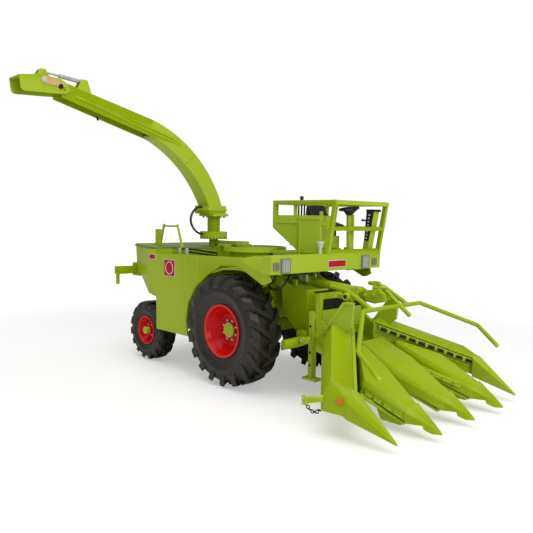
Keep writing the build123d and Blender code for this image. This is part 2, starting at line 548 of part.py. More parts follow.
def driver_place():
    """Seat, steering column and wheel, console, levers and the filler."""
    low = FLOOR_Z + FLOOR_T
    pedestal = block(11.5, 20.0, DRIVER_Y - 3.5, DRIVER_Y + 4.0, low, PEDESTAL_TOP_Z)
    wheel = steering_wheel()
    column = rod((25.9, WHEEL_AT[1], low), (WHEEL_AT[0] + 0.3, WHEEL_AT[1], WHEEL_AT[2] - HUB_DROP + 0.6), 1.25)
    column = column + rod((25.8, 17.3, low), (25.8, 17.3, 70.0), 0.7) + block(25.2, 26.4, 15.5, 17.3, 66.4, 67.4)
    column = (column - block(20, 30, 10, 20, low - 2, low)) - wheel
    console = side_sheet([(24.2, low), (26.8, low), (30.0, 71.4), (26.9, 71.4)], 26.4, 30.0)
    board = side_sheet([(25.7, 59.1), (27.7, 59.1), (29.9, 71.4), (26.6, 71.4)], 25.6, 26.4)
    cap = block(26.4, 30.6, 25.6, 30.4, 71.4, 72.4)
    knob = rod((27.2, 25.7, 67.6), (27.2, 22.7, 67.8), 0.35) + Pos(27.2, 22.5, 67.8) * Box(0.9, 0.9, 0.9)
    short = [rod((x, LEVER_Y, BOX_TOP_Z), (x, LEVER_Y, LEVER_TOP_Z), LEVER_R)
             for x in [LEVER_FIRST_X + index * LEVER_PITCH for index in range(LEVER_COUNT) if index != LEVER_COUNT // 2]]
    tall_x = LEVER_FIRST_X + LEVER_COUNT // 2 * LEVER_PITCH
    tall = rod((tall_x, LEVER_Y, BOX_TOP_Z), (tall_x, LEVER_Y, TALL_LEVER_Z), LEVER_R)
    tall = tall + Pos(tall_x, LEVER_Y, TALL_LEVER_Z + 0.5) * Cylinder(0.75, 1.5)
    filler = Pos(26.3, -3.4, low) * lathed_up([(0.0, 0.75), (2.6, 0.75), (2.6, 1.1), (3.9, 1.1), (3.9, 1.45), (5.1, 1.45)])
    return {
        "seat_pedestal": pedestal, "seat": seat(), "steering_column": column, "steering_wheel": wheel, "console": console,
        "console_board": board.fuse(cap, knob), "levers": Compound(short + [tall]), "fluid_filler": filler,
    }


def lathed_up(profile):
    """A profile of height and radius, turned about the Z axis."""
    corners = [(0, profile[0][0])] + [(r, h) for h, r in profile] + [(0, profile[-1][0])]
    return revolve(make_face(Polyline([(r, 0, h) for r, h in corners], close=True)), axis=Axis.Z)


def spout_point(s, z, w=0.0):
    """A point of the spout, s along its reach and w across it."""
    return (SPOUT_X + w, -s, z)


def spout_plate(points, w0, w1):
    """A profile in the spout's reach and height, extruded across from w0 to w1."""
    face = make_face(Polyline([spout_point(s, z, w0) for s, z in points], close=True))
    return extrude(face, amount=w1 - w0, dir=(1, 0, 0))


def spout_rod(s, z, w0, w1, radius):
    """A round bar across the spout from w0 to w1."""
    return rod(spout_point(s, z, w0), spout_point(s, z, w1), radius)


def spout_outline(inset):
    """The spout's side outline, drawn in by inset."""
    foot_z = SPOUT_FOOT_Z
    lower = ThreePointArc(spout_point(6.4 - inset, foot_z), spout_point(15.8 - inset * 0.8, 87.3 + inset * 0.6),
                          spout_point(36.2, 101.6 + inset))
    lower_run = Line(spout_point(36.2, 101.6 + inset), spout_point(SPOUT_END_S, 112.7 + inset))
    end = Line(spout_point(SPOUT_END_S, 112.7 + inset), spout_point(SPOUT_END_S, 118.6 - inset))
    top_run = Line(spout_point(SPOUT_END_S, 118.6 - inset), spout_point(37.7, 109.2 - inset))
    top = ThreePointArc(spout_point(37.7, 109.2 - inset), spout_point(11.0 + inset * 0.7, 93.1 - inset * 0.6),
                        spout_point(-1.6 + inset, foot_z))
    foot = Line(spout_point(-1.6 + inset, foot_z), spout_point(6.4 - inset, foot_z))
    return make_face(Wire([lower, lower_run, end, top_run, top, foot]))


def spout_chute():
    """The curved chute: open below its outer run, with folded side strips, hinge pins and the cylinder's bracket."""
    half = SPOUT_HALF_W - SPOUT_WALL
    chute = extrude(Pos(-SPOUT_HALF_W, 0, 0) * spout_outline(0), amount=2 * SPOUT_HALF_W, dir=(1, 0, 0))
    chute = chute - extrude(Pos(-half, 0, 0) * spout_outline(SPOUT_WALL), amount=2 * half, dir=(1, 0, 0))
    mouth = [(CHANNEL_START_S, 101.0), (SPOUT_END_S + 1, 110.0), (SPOUT_END_S + 1, 118.1), (SPOUT_END_S - 1, 117.6), (CHANNEL_START_S, 108.5)]
    chute = chute - spout_plate(mouth, -half, half)
    crease = [(22.1, 100.2), (39.0, 104.7), (62.5, 111.4), (73.0, 114.3)]
    strip = crease + [(s, z - 0.9) for s, z in reversed(crease)]
    added = []
    for side in (-1, 1):
        outer = side * SPOUT_HALF_W
        added.append(spout_plate(strip, min(outer, outer + side * 0.3), max(outer, outer + side * 0.3)))
        added.append(spout_rod(FLAP_PIN_S, FLAP_PIN_Z, side * (SPOUT_HALF_W - 0.3), side * (FLAP_HALF_W + 0.9), FLAP_PIN_R))
    for low_w, high_w in ((CYL_W - 1.5, CYL_W - 1.0), (CYL_W + 1.0, CYL_W + 1.5)):
        added.append(spout_plate([(66.0, 115.4), (67.8, 120.7), (70.2, 120.7), (72.2, 116.8)], low_w, high_w))
    added.append(spout_rod(CYL_FOOT_S, CYL_FOOT_Z, CYL_W - 1.2, CYL_W + 1.2, CYL_PIN_R))
    return chute.fuse(*added)


def spout():
    """Slewing gear, column, collar, hose and the chute, all of one swinging body."""
    gear_low = SPOUT_JOINT_Z + 0.1
    gear_top = gear_low + GEAR_T
    gear = rod((SPOUT_X, 0, gear_low), (SPOUT_X, 0, gear_top), GEAR_R) + rod((SPOUT_X, 0, gear_top), (SPOUT_X, 0, FLANGE_Z), COLUMN_R)
    notch = Pos(GEAR_R, 0, gear_low) * Box(0.9, 0.7, 1.8)
    gear = gear - [Pos(SPOUT_X, 0, 0) * Rot(0, 0, index * 360 / GEAR_NOTCHES) * notch for index in range(GEAR_NOTCHES)]
    flange = rod((SPOUT_X, 0, FLANGE_Z), (SPOUT_X, 0, FLANGE_Z + 1.2), FLANGE_R)
    collar = flange.fuse(block(SPOUT_X - 5.2, SPOUT_X + 5.2, -7.4, 3.2, FLANGE_Z + 1.2, SPOUT_FOOT_Z),
                         block(SPOUT_X - 5.6, SPOUT_X + 5.6, -7.8, 3.6, 71.0, 72.0))
    line = hose([(SPOUT_X, -7.0, 72.6), (SPOUT_X, -11.4, 71.4), (SPOUT_X, -13.8, 66.8), (SPOUT_X, -11.6, 62.0), (SPOUT_X, -6.3, 60.0)], 0.55)
    return {"spout_gear": gear, "spout_collar": collar, "spout_chute": spout_chute(), "spout_hose": (line - collar) - gear}


def flap_shell():
    """The hinged end of the spout: a hood open below, bored for its pins, with the cylinder's ears."""
    w = FLAP_HALF_W
    half = w - FLAP_WALL
    outline = [(75.4, 115.5), (76.4, 117.8), (79.2, 119.2), (87.0, 119.7), (95.0, 118.3), (94.4, 113.6), (93.2, 112.7), (80.0, 113.6),
               (77.0, 113.9)]
    room = [(79.2, 118.5), (87.0, 119.0), (97.0, 117.4), (97.0, 110.0), (70.0, 110.0), (70.0, 121.0), (79.2, 121.0)]
    shell = spout_plate(outline, -w, w) - spout_plate(room, -half, half)
    shell = shell - spout_rod(FLAP_PIN_S, FLAP_PIN_Z, -w - 1, w + 1, FLAP_PIN_R + RUN_FIT)
    for low_w, high_w in ((CYL_W - 1.5, CYL_W - 1.0), (CYL_W + 1.0, CYL_W + 1.5)):
        shell = shell + spout_plate([(83.2, 119.4), (84.9, 122.0), (86.7, 122.0), (88.2, 119.6), (87.0, 119.2)], low_w, high_w)
    return shell + spout_rod(CYL_EYE_S, CYL_EYE_Z, CYL_W - 1.2, CYL_W + 1.2, CYL_PIN_R)


def flap():
    """The flap, its lever, and the cylinder above it."""
    w = FLAP_HALF_W
    lever = spout_plate([(77.6, 116.0), (78.2, 117.6), (84.6, 119.3), (86.6, 119.0), (86.8, 117.4), (85.4, 116.6)], w, w + 0.5)
    lever = lever - spout_rod(FLAP_PIN_S, FLAP_PIN_Z, 0, w + 2, FLAP_PIN_R + RUN_FIT)
    foot = Vector(*spout_point(CYL_FOOT_S, CYL_FOOT_Z, CYL_W))
    head = Vector(*spout_point(CYL_EYE_S, CYL_EYE_Z, CYL_W))
    along = (head - foot).normalized()
    cross = Vector(1, 0, 0)
    barrel_end = foot + along * CYL_BARREL_L
    barrel = rod(foot + along * 1.2, barrel_end, CYL_BARREL_R).fuse(
        rod(foot - cross * 0.5, foot + cross * 0.5, CYL_EYE_R), rod(foot + along * 0.6, foot + along * 1.4, 0.5))
    barrel = barrel - rod(foot - cross, foot + cross, CYL_PIN_R + RUN_FIT)
    barrel = barrel - rod(foot + along * 2.2, barrel_end + along, CYL_ROD_R + RUN_FIT)
    piston = rod(foot + along * 4.0, head - along * 0.8, CYL_ROD_R) + rod(head - cross * 0.5, head + cross * 0.5, CYL_EYE_R)
    piston = piston - rod(head - cross, head + cross, CYL_PIN_R + 0.3)
    return {"spout_flap": flap_shell(), "flap_lever": lever, "flap_cylinder": barrel, "flap_rod": piston}


def feed_housing():
    """The feed housing between the front wheels with its drive motor, hung from its hinge shaft."""
    w = HOUSING_HALF_W
    shell = side_sheet([(14.2, 41.6), (HEADER_X, 38.9), (HEADER_X, 25.4), (22.0, 24.5), (15.4, 30.6)], -w, w)
    flange = block(33.2, HEADER_X, -w - 0.8, w + 0.8, 24.8, 39.7)
    rib = side_sheet([(28.4, 24.6), (29.6, 24.6), (29.6, 40.3), (28.4, 40.5)], -w - 0.5, w + 0.5)
    shell = shell.fuse(flange, rib) - block(20.0, 45.0, -w + 1.6, w - 1.6, 27.0, 36.8)
    ear = [(HINGE_X - 1.8, HINGE_Z - 1.0), (HINGE_X - 1.8, HINGE_Z + 1.0), (HINGE_X, HINGE_Z + 1.8), (18.0, 41.3), (18.0, 38.0), (15.0, 39.5)]
    for side in (-1, 1):
        shell = shell + side_sheet(ear, side * (w - 1.2), side * w)
    motor = rod((27.2, -24.0, 20.4), (29.4, -16.0, 21.3), 1.9)
    shell = shell.fuse(motor, block(27.0, 31.4, -16.8, -9.0, 20.2, 25.2), block(16.3, 18.3, -8.4, -7.6, 40.6, 43.4))
    shell = shell - rod((HINGE_X, -w - 2, HINGE_Z), (HINGE_X, w + 2, HINGE_Z), HINGE_R + RUN_FIT)
    shell = shell - Pos(17.3, -8.0, 42.5) * Rot(90, 0, 0) * Cylinder(0.45, 3)
    return {"feed_housing": shell}


def tilt_ram():
    """The large cylinder between the machine and the header's gearbox."""
    rear, front = Vector(*TILT_REAR), Vector(*TILT_FRONT)
    along = (front - rear).normalized()
    barrel = rod(rear, front, TILT_R)
    rod_end = rear - along * 4.0
    piston = rod(rod_end, rear, 1.1)
    return {"tilt_cylinder": barrel, "tilt_rod": piston}


def base_z(x):
    """Height of the row base's upper face at x."""
    return BASE_Z - BASE_SLOPE * (x - BASE_X)


def header_posts():
    """Back frame of the header: throat frame, cheeks, side plates, gearbox with its shelf, and leg lugs."""
    front = HEADER_X + 1.8
    y = HEADER_HALF_W
    pieces = [block(HEADER_X, front, -y, y, 37.8, 40.0), block(HEADER_X, front, -y, y, 18.0, 26.0), block(HEADER_X, 46.0, -5.0, 5.0, 37.8, 39.4),
              block(42.5, 48.5, -3.2, 3.2, 37.6, 41.0), block(47.6, 49.4, 2.7, 4.3, 40.8, 44.8)]
    cheek = [(HEADER_X, 40.0), (front, 40.0), (front, 30.0), (48.0, 22.0), (48.0, 15.0), (HEADER_X, 18.0)]
    plate = [(38.4, 25.5), (41.9, 23.4), (51.4, 29.6), (52.0, 38.3), (47.9, 37.8)]
    for side in (-1, 1):
        pieces.append(side_sheet(cheek, side * CHEEK_Y, side * y))
        pieces.append(side_sheet(plate, side * (y - 1.0), side * y))
    for low in (23.5, 30.0):
        pieces.append(block(HEADER_X - 0.4, HEADER_X, -y, -y + 1.1, low, low + 2.0))
    return pieces[0].fuse(*pieces[1:]) - rod(TILT_REAR, TILT_FRONT, TILT_R)


def row_base(outer):
    """The sloping base sheet under the rows, cut to the outer dividers, with a skid under each inner divider."""
    plan = [(HEADER_X, -HEADER_HALF_W), (46.0, -17.0), (62.0, -37.0), (72.0, -36.0), (64.0, -26.0), (80.0, -23.0), (80.0, -18.4), (64.0, -12.0),
            (62.0, -9.5), (66.0, -5.5), (80.0, -3.0)]
    low_front, high_front = base_z(82.0) - BASE_T, base_z(82.0)
    profile = [(HEADER_X, base_z(HEADER_X)), (HEADER_X, base_z(HEADER_X) - BASE_T), (82.0, low_front), (82.0, high_front)]
    base = side_sheet(profile, -40.0, 40.0) & flat_sheet(plan + [(x, -y) for x, y in reversed(plan)], 0.0, 40.0)
    base = base - outer - mirrored(outer)
    skid = side_sheet([(68.0, base_z(68.0) - 0.4), (79.6, base_z(79.6) - 0.4), (78.5, 2.6), (71.0, 2.6)], -22.6, -19.2)
    return base.fuse(skid, mirrored(skid))


def outer_divider():
    """The right outer divider: a slanted trough beam and a larger pointed nose over its end."""
    beam = folded_solid([
        # outer low, outer top, inner top, inner low
        [(42.5, -19.9, 21.5), (45.2, -17.7, 28.5), (47.4, -9.0, 28.0), (47.4, -9.0, 19.0)],
        [(62.8, -43.9, 9.5), (65.5, -41.8, 17.6), (70.8, -37.1, 14.8), (70.8, -37.1, 8.0)],
        [(66.0, -43.0, 9.0), (68.6, -41.2, 16.2), (73.4, -37.2, 13.8), (73.4, -37.2, 7.6)],
    ])
    nose = folded_solid([[(62.9, -44.6, 8.8), (65.6, -42.3, 18.4), (71.8, -36.5, 15.8), (71.8, -36.5, 7.4)]], tip=(90.5, -38.9, 2.2))
    return beam + nose


def section_in_x(x, points):
    """A closed section of a divider at one x, from its Y and Z points."""
    return make_face(Polyline([(x, y, z) for y, z in points], close=True))


def inner_divider():
    """The right inner divider: a roof-shaped body, a folded edge and a nose cap over its end."""
    rear = section_in_x(52.0, [(-11.5, base_z(52.0)), (-11.5, 22.0), (-7.5, 22.5), (-7.5, base_z(52.0))])
    middle = section_in_x(64.0, [(-24.0, base_z(64.0)), (-24.0, 12.6), (-8.5, 15.8), (-8.5, base_z(64.0))])
    neck = section_in_x(82.6, [(-23.4, base_z(82.6)), (-23.4, 7.8), (-17.9, 8.8), (-17.9, base_z(82.6))])
    nose = loft([section_in_x(81.4, [(-24.1, 2.9), (-24.1, 8.9), (-17.3, 10.0), (-17.3, 2.9)]), Vertex(TIP_X, -ROW_PITCH_Y, TIP_Z)], ruled=True)
    fold = flat_bar((64.0, -24.0, 12.7), (81.6, -23.7, 8.3), 0.7, 0.9)
    return loft([rear, middle, neck], ruled=True).fuse(nose, fold)


def centre_divider():
    """The centre divider with its nose cap."""
    rear = section_in_x(50.0, [(-7.0, base_z(50.0)), (-7.0, 23.0), (7.0, 23.0), (7.0, base_z(50.0))])
    middle = section_in_x(63.5, [(-7.0, base_z(63.5)), (-7.0, 16.0), (7.0, 16.0), (7.0, base_z(63.5))])
    neck = section_in_x(82.6, [(-3.0, base_z(82.6)), (-3.0, 8.4), (3.0, 8.4), (3.0, base_z(82.6))])
    nose = loft([section_in_x(81.6, [(-3.6, 2.9), (-3.6, 9.4), (3.6, 9.4), (3.6, 2.9)]), Vertex(TIP_X, 0, TIP_Z)], ruled=True)
    return loft([rear, middle, neck], ruled=True) + nose


def gathering_chain(start, end, outwards):
    """One gathering chain: its guide rail with the links and fingers that reach into the row."""
    a, b = Vector(*start), Vector(*end)
    along = (b - a).normalized()
    across = Vector(0, 0, 1).cross(along).normalized() * outwards
    plane = Plane(origin=a, x_dir=along, z_dir=along.cross(across))
    length = (b - a).length
    pieces = [block(0, length, -0.9, 0.4, -0.8, 0.8)]
    for index in range(int(length / LINK_PITCH)):
        x = 0.5 + index * LINK_PITCH
        pieces.append(block(x, x + 1.7, 0.3, 1.0, -0.6, 0.6))
        pieces.append(block(x + 0.5, x + 1.1, 0.9, 2.2, -0.35, 0.35))
    return plane * pieces[0].fuse(*pieces[1:])


def chains(outer, inner, frame):
    """The six gathering chains, cut to the dividers that carry them."""
    rows = [
        # start, end, side of the line that faces the row
        ((50.5, -12.2, 24.0), (69.5, -35.1, 13.0), 1),
        ((65.0, -24.5, 10.9), (80.0, -24.2, 7.0), -1),
        ((65.5, -8.9, 12.6), (80.0, -16.4, 7.4), 1),
    ]
    right = [((gathering_chain(*row) - outer) - inner) - frame for row in rows]
    return Compound(right + [mirrored(shape) for shape in right])


def pusher_bar(frame):
    """The bent tube over the rows on its two side arms and the centre tube."""
    ends = [(81.2, 38.3, 20.4), (72.8, 38.1, 27.5), (59.0, 17.9, 36.5)]
    path = [(x, -y, z) for x, y, z in ends] + list(reversed(ends))
    bar = bent_tube(path, TUBE_R, 2.2, 12)
    pieces = [rod((49.0, 3.5, 44.4), (64.0, 3.5, 33.5), TUBE_R)]
    for side in (-1, 1):
        pieces.append(flat_bar((34.8, side * 12.4, 41.15), (46.0, side * 12.4, 41.55), 1.4, 2.2))
        pieces.append(flat_bar((45.4, side * 12.4, 41.55), (59.4, side * 11.0, 36.6), 1.4, 2.0))
    return bar.fuse(*pieces) - frame


def header():
    """The maize header: back frame, dividers, chains, pusher bar, stand leg and tilt ram."""
    posts = header_posts()
    outer = outer_divider() - posts
    inner = inner_divider()
    frame = posts + row_base(outer)
    leg = block(HEADER_X - 2.2, HEADER_X - 0.4, -15.9, -13.3, 7.6, 33.0) + block(HEADER_X - 4.6, HEADER_X + 2.2, -16.6, -12.6, 6.8, 7.6)
    return {
        "header_frame": frame, "divider_right_outer": outer, "divider_left_outer": mirrored(outer), "divider_right_inner": inner,
        "divider_left_inner": mirrored(inner), "divider_centre": centre_divider(), "gathering_chains": chains(outer, inner, frame),
        "pusher_bar": pusher_bar(frame), "stand_leg": leg, **tilt_ram(),
    }


def main():
    """Build every node and write one STEP file for each."""
    os.makedirs("parts", exist_ok=True)
    nodes = {}
    for group in (wheels, chassis, body, platform, driver_place, spout, flap, feed_housing, header):
        nodes.update(group())
    for name, shape in nodes.items():
        export_step(shape, f"parts/{name}.step")


main()
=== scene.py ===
"""Scale model of a self-propelled forage harvester with a maize header, dressed for the studio.

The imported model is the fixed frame. +X is forward and +Y is to the machine's left. The studio is laid out
in metres. The pieces that dress the model are given in millimetres, as on a drawing, and turned into metres
by the bench that makes them.
"""

import json
import logging
import math
from collections.abc import Callable, Iterable, Sequence
from dataclasses import dataclass, field
from enum import Enum
from typing import ClassVar, NamedTuple

import bmesh
import bpy
from mathutils import Matrix, Vector

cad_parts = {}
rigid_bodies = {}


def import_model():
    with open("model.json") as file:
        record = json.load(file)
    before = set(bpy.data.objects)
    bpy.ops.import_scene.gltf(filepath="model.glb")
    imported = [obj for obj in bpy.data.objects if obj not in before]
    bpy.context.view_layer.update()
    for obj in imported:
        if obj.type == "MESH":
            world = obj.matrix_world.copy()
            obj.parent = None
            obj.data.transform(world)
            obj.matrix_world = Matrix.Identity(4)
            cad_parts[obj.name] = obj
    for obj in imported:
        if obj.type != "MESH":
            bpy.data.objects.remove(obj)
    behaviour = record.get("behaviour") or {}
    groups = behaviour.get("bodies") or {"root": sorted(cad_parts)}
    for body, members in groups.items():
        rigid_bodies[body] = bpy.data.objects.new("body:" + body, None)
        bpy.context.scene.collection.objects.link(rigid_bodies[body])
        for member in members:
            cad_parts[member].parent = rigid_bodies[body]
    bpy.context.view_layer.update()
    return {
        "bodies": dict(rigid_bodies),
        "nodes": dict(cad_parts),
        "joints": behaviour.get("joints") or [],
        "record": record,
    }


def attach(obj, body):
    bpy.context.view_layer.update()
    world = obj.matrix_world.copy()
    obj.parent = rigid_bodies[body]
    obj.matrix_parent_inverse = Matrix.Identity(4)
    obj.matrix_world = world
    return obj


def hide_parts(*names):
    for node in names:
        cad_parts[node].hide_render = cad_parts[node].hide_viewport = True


LOG = logging.getLogger("forage_harvester")
MM = 0.001
# each side's name and the sign of its y
SIDES = (("right", -1), ("left", 1))
UP = Vector((0, 0, 1))
ACROSS = (0, 1, 0)
# a surface's pointiness where the painted edge highlight starts and where it is strongest
EDGE_START = 0.53
EDGE_STOP = 0.59
# the slots and finishes that many pieces share
GREEN = "green_paint"
STEEL = "bright_steel"
CREAM = "cream_plastic"
BLACK = "chain_black"
Point = tuple[float, float, float]


class Coat(Enum):
    """The kinds of surface that the model has."""

    LACQUER = "lacquer"
    RUBBER = "rubber"
    PLASTIC = "plastic"
    METAL = "metal"
    MESH = "mesh"
    LENS = "lens"


class Shader:
    """A node tree being wired, with one Principled shader at its end."""

    def __init__(self, name: str) -> None:
        """Start an empty tree.

        Args:
            name: the material's name.
        """
        self.material = bpy.data.materials.new(name)
        self.material.use_nodes = True
        self.tree = self.material.node_tree
        self.tree.nodes.clear()
        self.output = self.tree.nodes.new("ShaderNodeOutputMaterial")
        self.surface = self.tree.nodes.new("ShaderNodeBsdfPrincipled")
        self.tree.links.new(self.surface.outputs[0], self.output.inputs[0])
        self.place = self.tree.nodes.new("ShaderNodeTexCoord").outputs["Object"]

    def add(self, kind: str, **settings: object) -> bpy.types.Node:
        """Add a node and set its properties and unlinked sockets.

        Args:
            kind: the node's type name.
            settings: attribute values, or socket values by socket name.

        Returns:
            The new node.
        """
        node = self.tree.nodes.new(kind)
        for key, value in settings.items():
            if hasattr(node, key):
                setattr(node, key, value)
            else:
                node.inputs[key.replace("_", " ")].default_value = value
        return node

    def link(self, source: bpy.types.NodeSocket, target: bpy.types.NodeSocket) -> None:
        """Join an output to an input."""
        self.tree.links.new(source, target)

    def paint(self, source: bpy.types.NodeSocket) -> None:
        """Use a colour as the surface's own."""
        self.link(source, self.surface.inputs["Base Color"])

    def set(self, **values: float) -> None:
        """Set even values on the surface's own sockets."""
        for name, value in values.items():
            self.surface.inputs[name.replace("_", " ")].default_value = value

    def noise(self, size: float, detail: float, roughness: float = 0.5) -> bpy.types.NodeSocket:
        """Noise over the object.

        Args:
            size: the width of a patch in metres.
            detail: the number of finer layers.
            roughness: the strength of the finer layers.

        Returns:
            The noise's factor socket.
        """
        node = self.add("ShaderNodeTexNoise", Scale=1.0 / size, Detail=detail, Roughness=roughness)
        self.link(self.place, node.inputs["Vector"])
        return node.outputs["Fac"]

    def ramp(self, source: bpy.types.NodeSocket, low: tuple, high: tuple, start: float,
             stop: float) -> bpy.types.NodeSocket:
        """Turn a factor into a colour between two.

        Args:
            source: the factor.
            low: the colour at start.
            high: the colour at stop.
            start: where the low colour ends.
            stop: where the high colour starts.

        Returns:
            The colour socket.
        """
        node = self.add("ShaderNodeValToRGB")
        for element, place, colour in zip(node.color_ramp.elements, (start, stop), (low, high)):
            element.position = place
            element.color = (*colour, 1.0)
        self.link(source, node.inputs[0])
        return node.outputs["Color"]

    def span(self, source: bpy.types.NodeSocket, low: float, high: float, start: float = 0.0,
             stop: float = 1.0) -> bpy.types.NodeSocket:
        """Map a factor to a range of values.

        Args:
            source: the factor.
            low: the value at start.
            high: the value at stop.
            start: the factor that gives the low value.
            stop: the factor that gives the high value.

        Returns:
            The value's socket.
        """
        node = self.add("ShaderNodeMapRange")
        for socket, value in (("From Min", start), ("From Max", stop), ("To Min", low), ("To Max", high)):
            node.inputs[socket].default_value = value
        self.link(source, node.inputs["Value"])
        return node.outputs["Result"]

    def mix(self, share: bpy.types.NodeSocket) -> bpy.types.Node:
        """Add a mixer of two colours.

        Args:
            share: how much of the second colour shows.

        Returns:
            The mixer. Input 6 is its first colour and input 7 its second.
        """
        node = self.add("ShaderNodeMix", data_type="RGBA")
        self.link(share, node.inputs[0])
        return node

    def bump(self, source: bpy.types.NodeSocket, strength: float, depth: float) -> None:
        """Raise the surface by a height pattern.

        Args:
            source: the height.
            strength: how much of it shows.
            depth: its height in metres.
        """
        node = self.add("ShaderNodeBump", Strength=strength, Distance=depth)
        self.link(source, node.inputs["Height"])
        self.link(node.outputs[0], self.surface.inputs["Normal"])

    def painted_edge_highlight(self, base: bpy.types.NodeSocket, highlight_colour: tuple, amount: float) -> bpy.types.NodeSocket:
        """Paint a highlight on the sharp edges of a colour, where lamps would catch them.

        Args:
            base: the colour away from edges.
            highlight_colour: the painted highlight's colour at a sharp edge.
            amount: the largest share of the edge colour.

        Returns:
            The mixed colour socket.
        """
        # painted highlight: sharp edges are lightened towards a paler colour, standing in for light caught on
        # folds
        edge = self.add("ShaderNodeNewGeometry").outputs["Pointiness"]
        mix = self.mix(self.span(edge, 0.0, amount, EDGE_START, EDGE_STOP))
        self.link(base, mix.inputs[6])
        mix.inputs[7].default_value = (*highlight_colour, 1.0)
        return mix.outputs[2]


@dataclass
class Layers:
    """The patterns that every finish starts from."""

    shader: Shader
    colour: bpy.types.NodeSocket
    patches: bpy.types.NodeSocket
    grain: bpy.types.NodeSocket


@dataclass(frozen=True)
class Finish:
    """One finish of the model. The darker patches have the colour times shade. Widths are in metres."""

    name: str
    coat: Coat
    colour: tuple[float, float, float]
    roughness: float
    shade: float
    patch: float
    grain: float

    def shaded(self, share: float, lift: float = 0.0) -> tuple[float, float, float]:
        """This finish's colour, darker or lighter by a share and lifted towards white."""
        return tuple(min(1.0, c * share + lift) for c in self.colour)

    def make(self) -> bpy.types.Material:
        """Build the material.

        Returns:
            The finished material.
        """
        shader = Shader(self.name)
        patches = shader.noise(self.patch, detail=4.0, roughness=0.55)
        colour = shader.ramp(patches, self.shaded(self.shade), self.colour, start=0.30, stop=0.70)
        layers = Layers(shader, colour, patches, shader.noise(self.grain, detail=2.0))
        builders = {
            Coat.LACQUER: self.lacquer, Coat.RUBBER: self.rubber, Coat.PLASTIC: self.plastic,
            Coat.METAL: self.metal, Coat.MESH: self.mesh, Coat.LENS: self.lens,
        }
        builders[self.coat](layers)
        return shader.material

    def gloss(self, layers: Layers, below: float, above: float) -> None:
        """Let the roughness vary with the patches, from a little below to a little above the finish's own."""
        level = layers.shader.span(layers.patches, self.roughness - below, self.roughness + above)
        layers.shader.link(level, layers.shader.surface.inputs["Roughness"])

    def lacquer(self, layers: Layers) -> None:
        """Sprayed lacquer: a clear gloss over slightly uneven colour, with a faint orange peel and painted
        highlights on its sharp edges.

        Args:
            layers: the patterns that it starts from.
        """
        shader = layers.shader
        # painted highlight: the sharp edges are lightened towards a paler colour
        shader.paint(shader.painted_edge_highlight(layers.colour, highlight_colour=self.shaded(1.35, 0.05), amount=0.75))
        self.gloss(layers, below=0.05, above=0.07)
        shader.set(Specular_IOR_Level=0.08, Coat_Weight=0.16, Coat_Roughness=0.09)
        shader.bump(layers.grain, strength=0.10, depth=0.00004)

    def rubber(self, layers: Layers) -> None:
        """Moulded rubber: dull, with painted highlights on its sharp edges and a fine grain.

        Args:
            layers: the patterns that it starts from.
        """
        # painted highlight: the sharp edges are lightened towards a paler colour
        layers.shader.paint(layers.shader.painted_edge_highlight(layers.colour, highlight_colour=self.shaded(2.2, 0.02), amount=0.7))
        self.gloss(layers, below=0.08, above=0.08)
        layers.shader.bump(layers.grain, strength=0.22, depth=0.00005)

    def plastic(self, layers: Layers) -> None:
        """Moulded plastic: an even colour under a fine spark-eroded grain.

        Args:
            layers: the patterns that it starts from.
        """
        layers.shader.paint(layers.colour)
        layers.shader.set(Specular_IOR_Level=0.22)
        self.gloss(layers, below=0.05, above=0.05)
        layers.shader.bump(layers.grain, strength=0.18, depth=0.00003)

    def metal(self, layers: Layers) -> None:
        """Plated metal: slight stains in its gloss.

        Args:
            layers: the patterns that it starts from.
        """
        layers.shader.paint(layers.colour)
        layers.shader.set(Metallic=0.6)
        self.gloss(layers, below=0.06, above=0.10)
        layers.shader.bump(layers.grain, strength=0.12, depth=0.00002)

    def mesh(self, layers: Layers) -> None:
        """Pressed screen sheet: rows of small raised dots.

        Args:
            layers: the patterns that it starts from.
        """
        shader = layers.shader
        dots = shader.add("ShaderNodeTexVoronoi", Scale=1.0 / self.grain, Randomness=0.0)
        shader.link(shader.place, dots.inputs["Vector"])
        hole = shader.span(dots.outputs["Distance"], low=0.0, high=1.0, start=0.25, stop=0.38)
        mix = shader.mix(hole)
        mix.inputs[6].default_value = (*self.shaded(0.62), 1.0)
        shader.link(layers.colour, mix.inputs[7])
        shader.paint(mix.outputs[2])
        self.gloss(layers, below=0.05, above=0.08)
        shader.bump(hole, strength=0.35, depth=0.00008)

    def lens(self, layers: Layers) -> None:
        """A lamp's lens: upright flutes under a clear gloss.

        Args:
            layers: the patterns that it starts from.
        """
        shader = layers.shader
        # a wave texture repeats 20 times in 2 pi units, so this scale makes a flute about one grain wide
        flutes = 1.0 / self.grain / 6.283
        wave = shader.add("ShaderNodeTexWave", bands_direction="Y", Scale=flutes, Distortion=0.4)
        shader.link(shader.place, wave.inputs["Vector"])
        shader.paint(shader.ramp(wave.outputs["Fac"], self.shaded(0.55), self.colour, start=0.2, stop=0.8))
        self.gloss(layers, below=0.04, above=0.05)
        shader.set(Coat_Weight=0.6)
        shader.bump(wave.outputs["Fac"], strength=0.5, depth=0.0001)


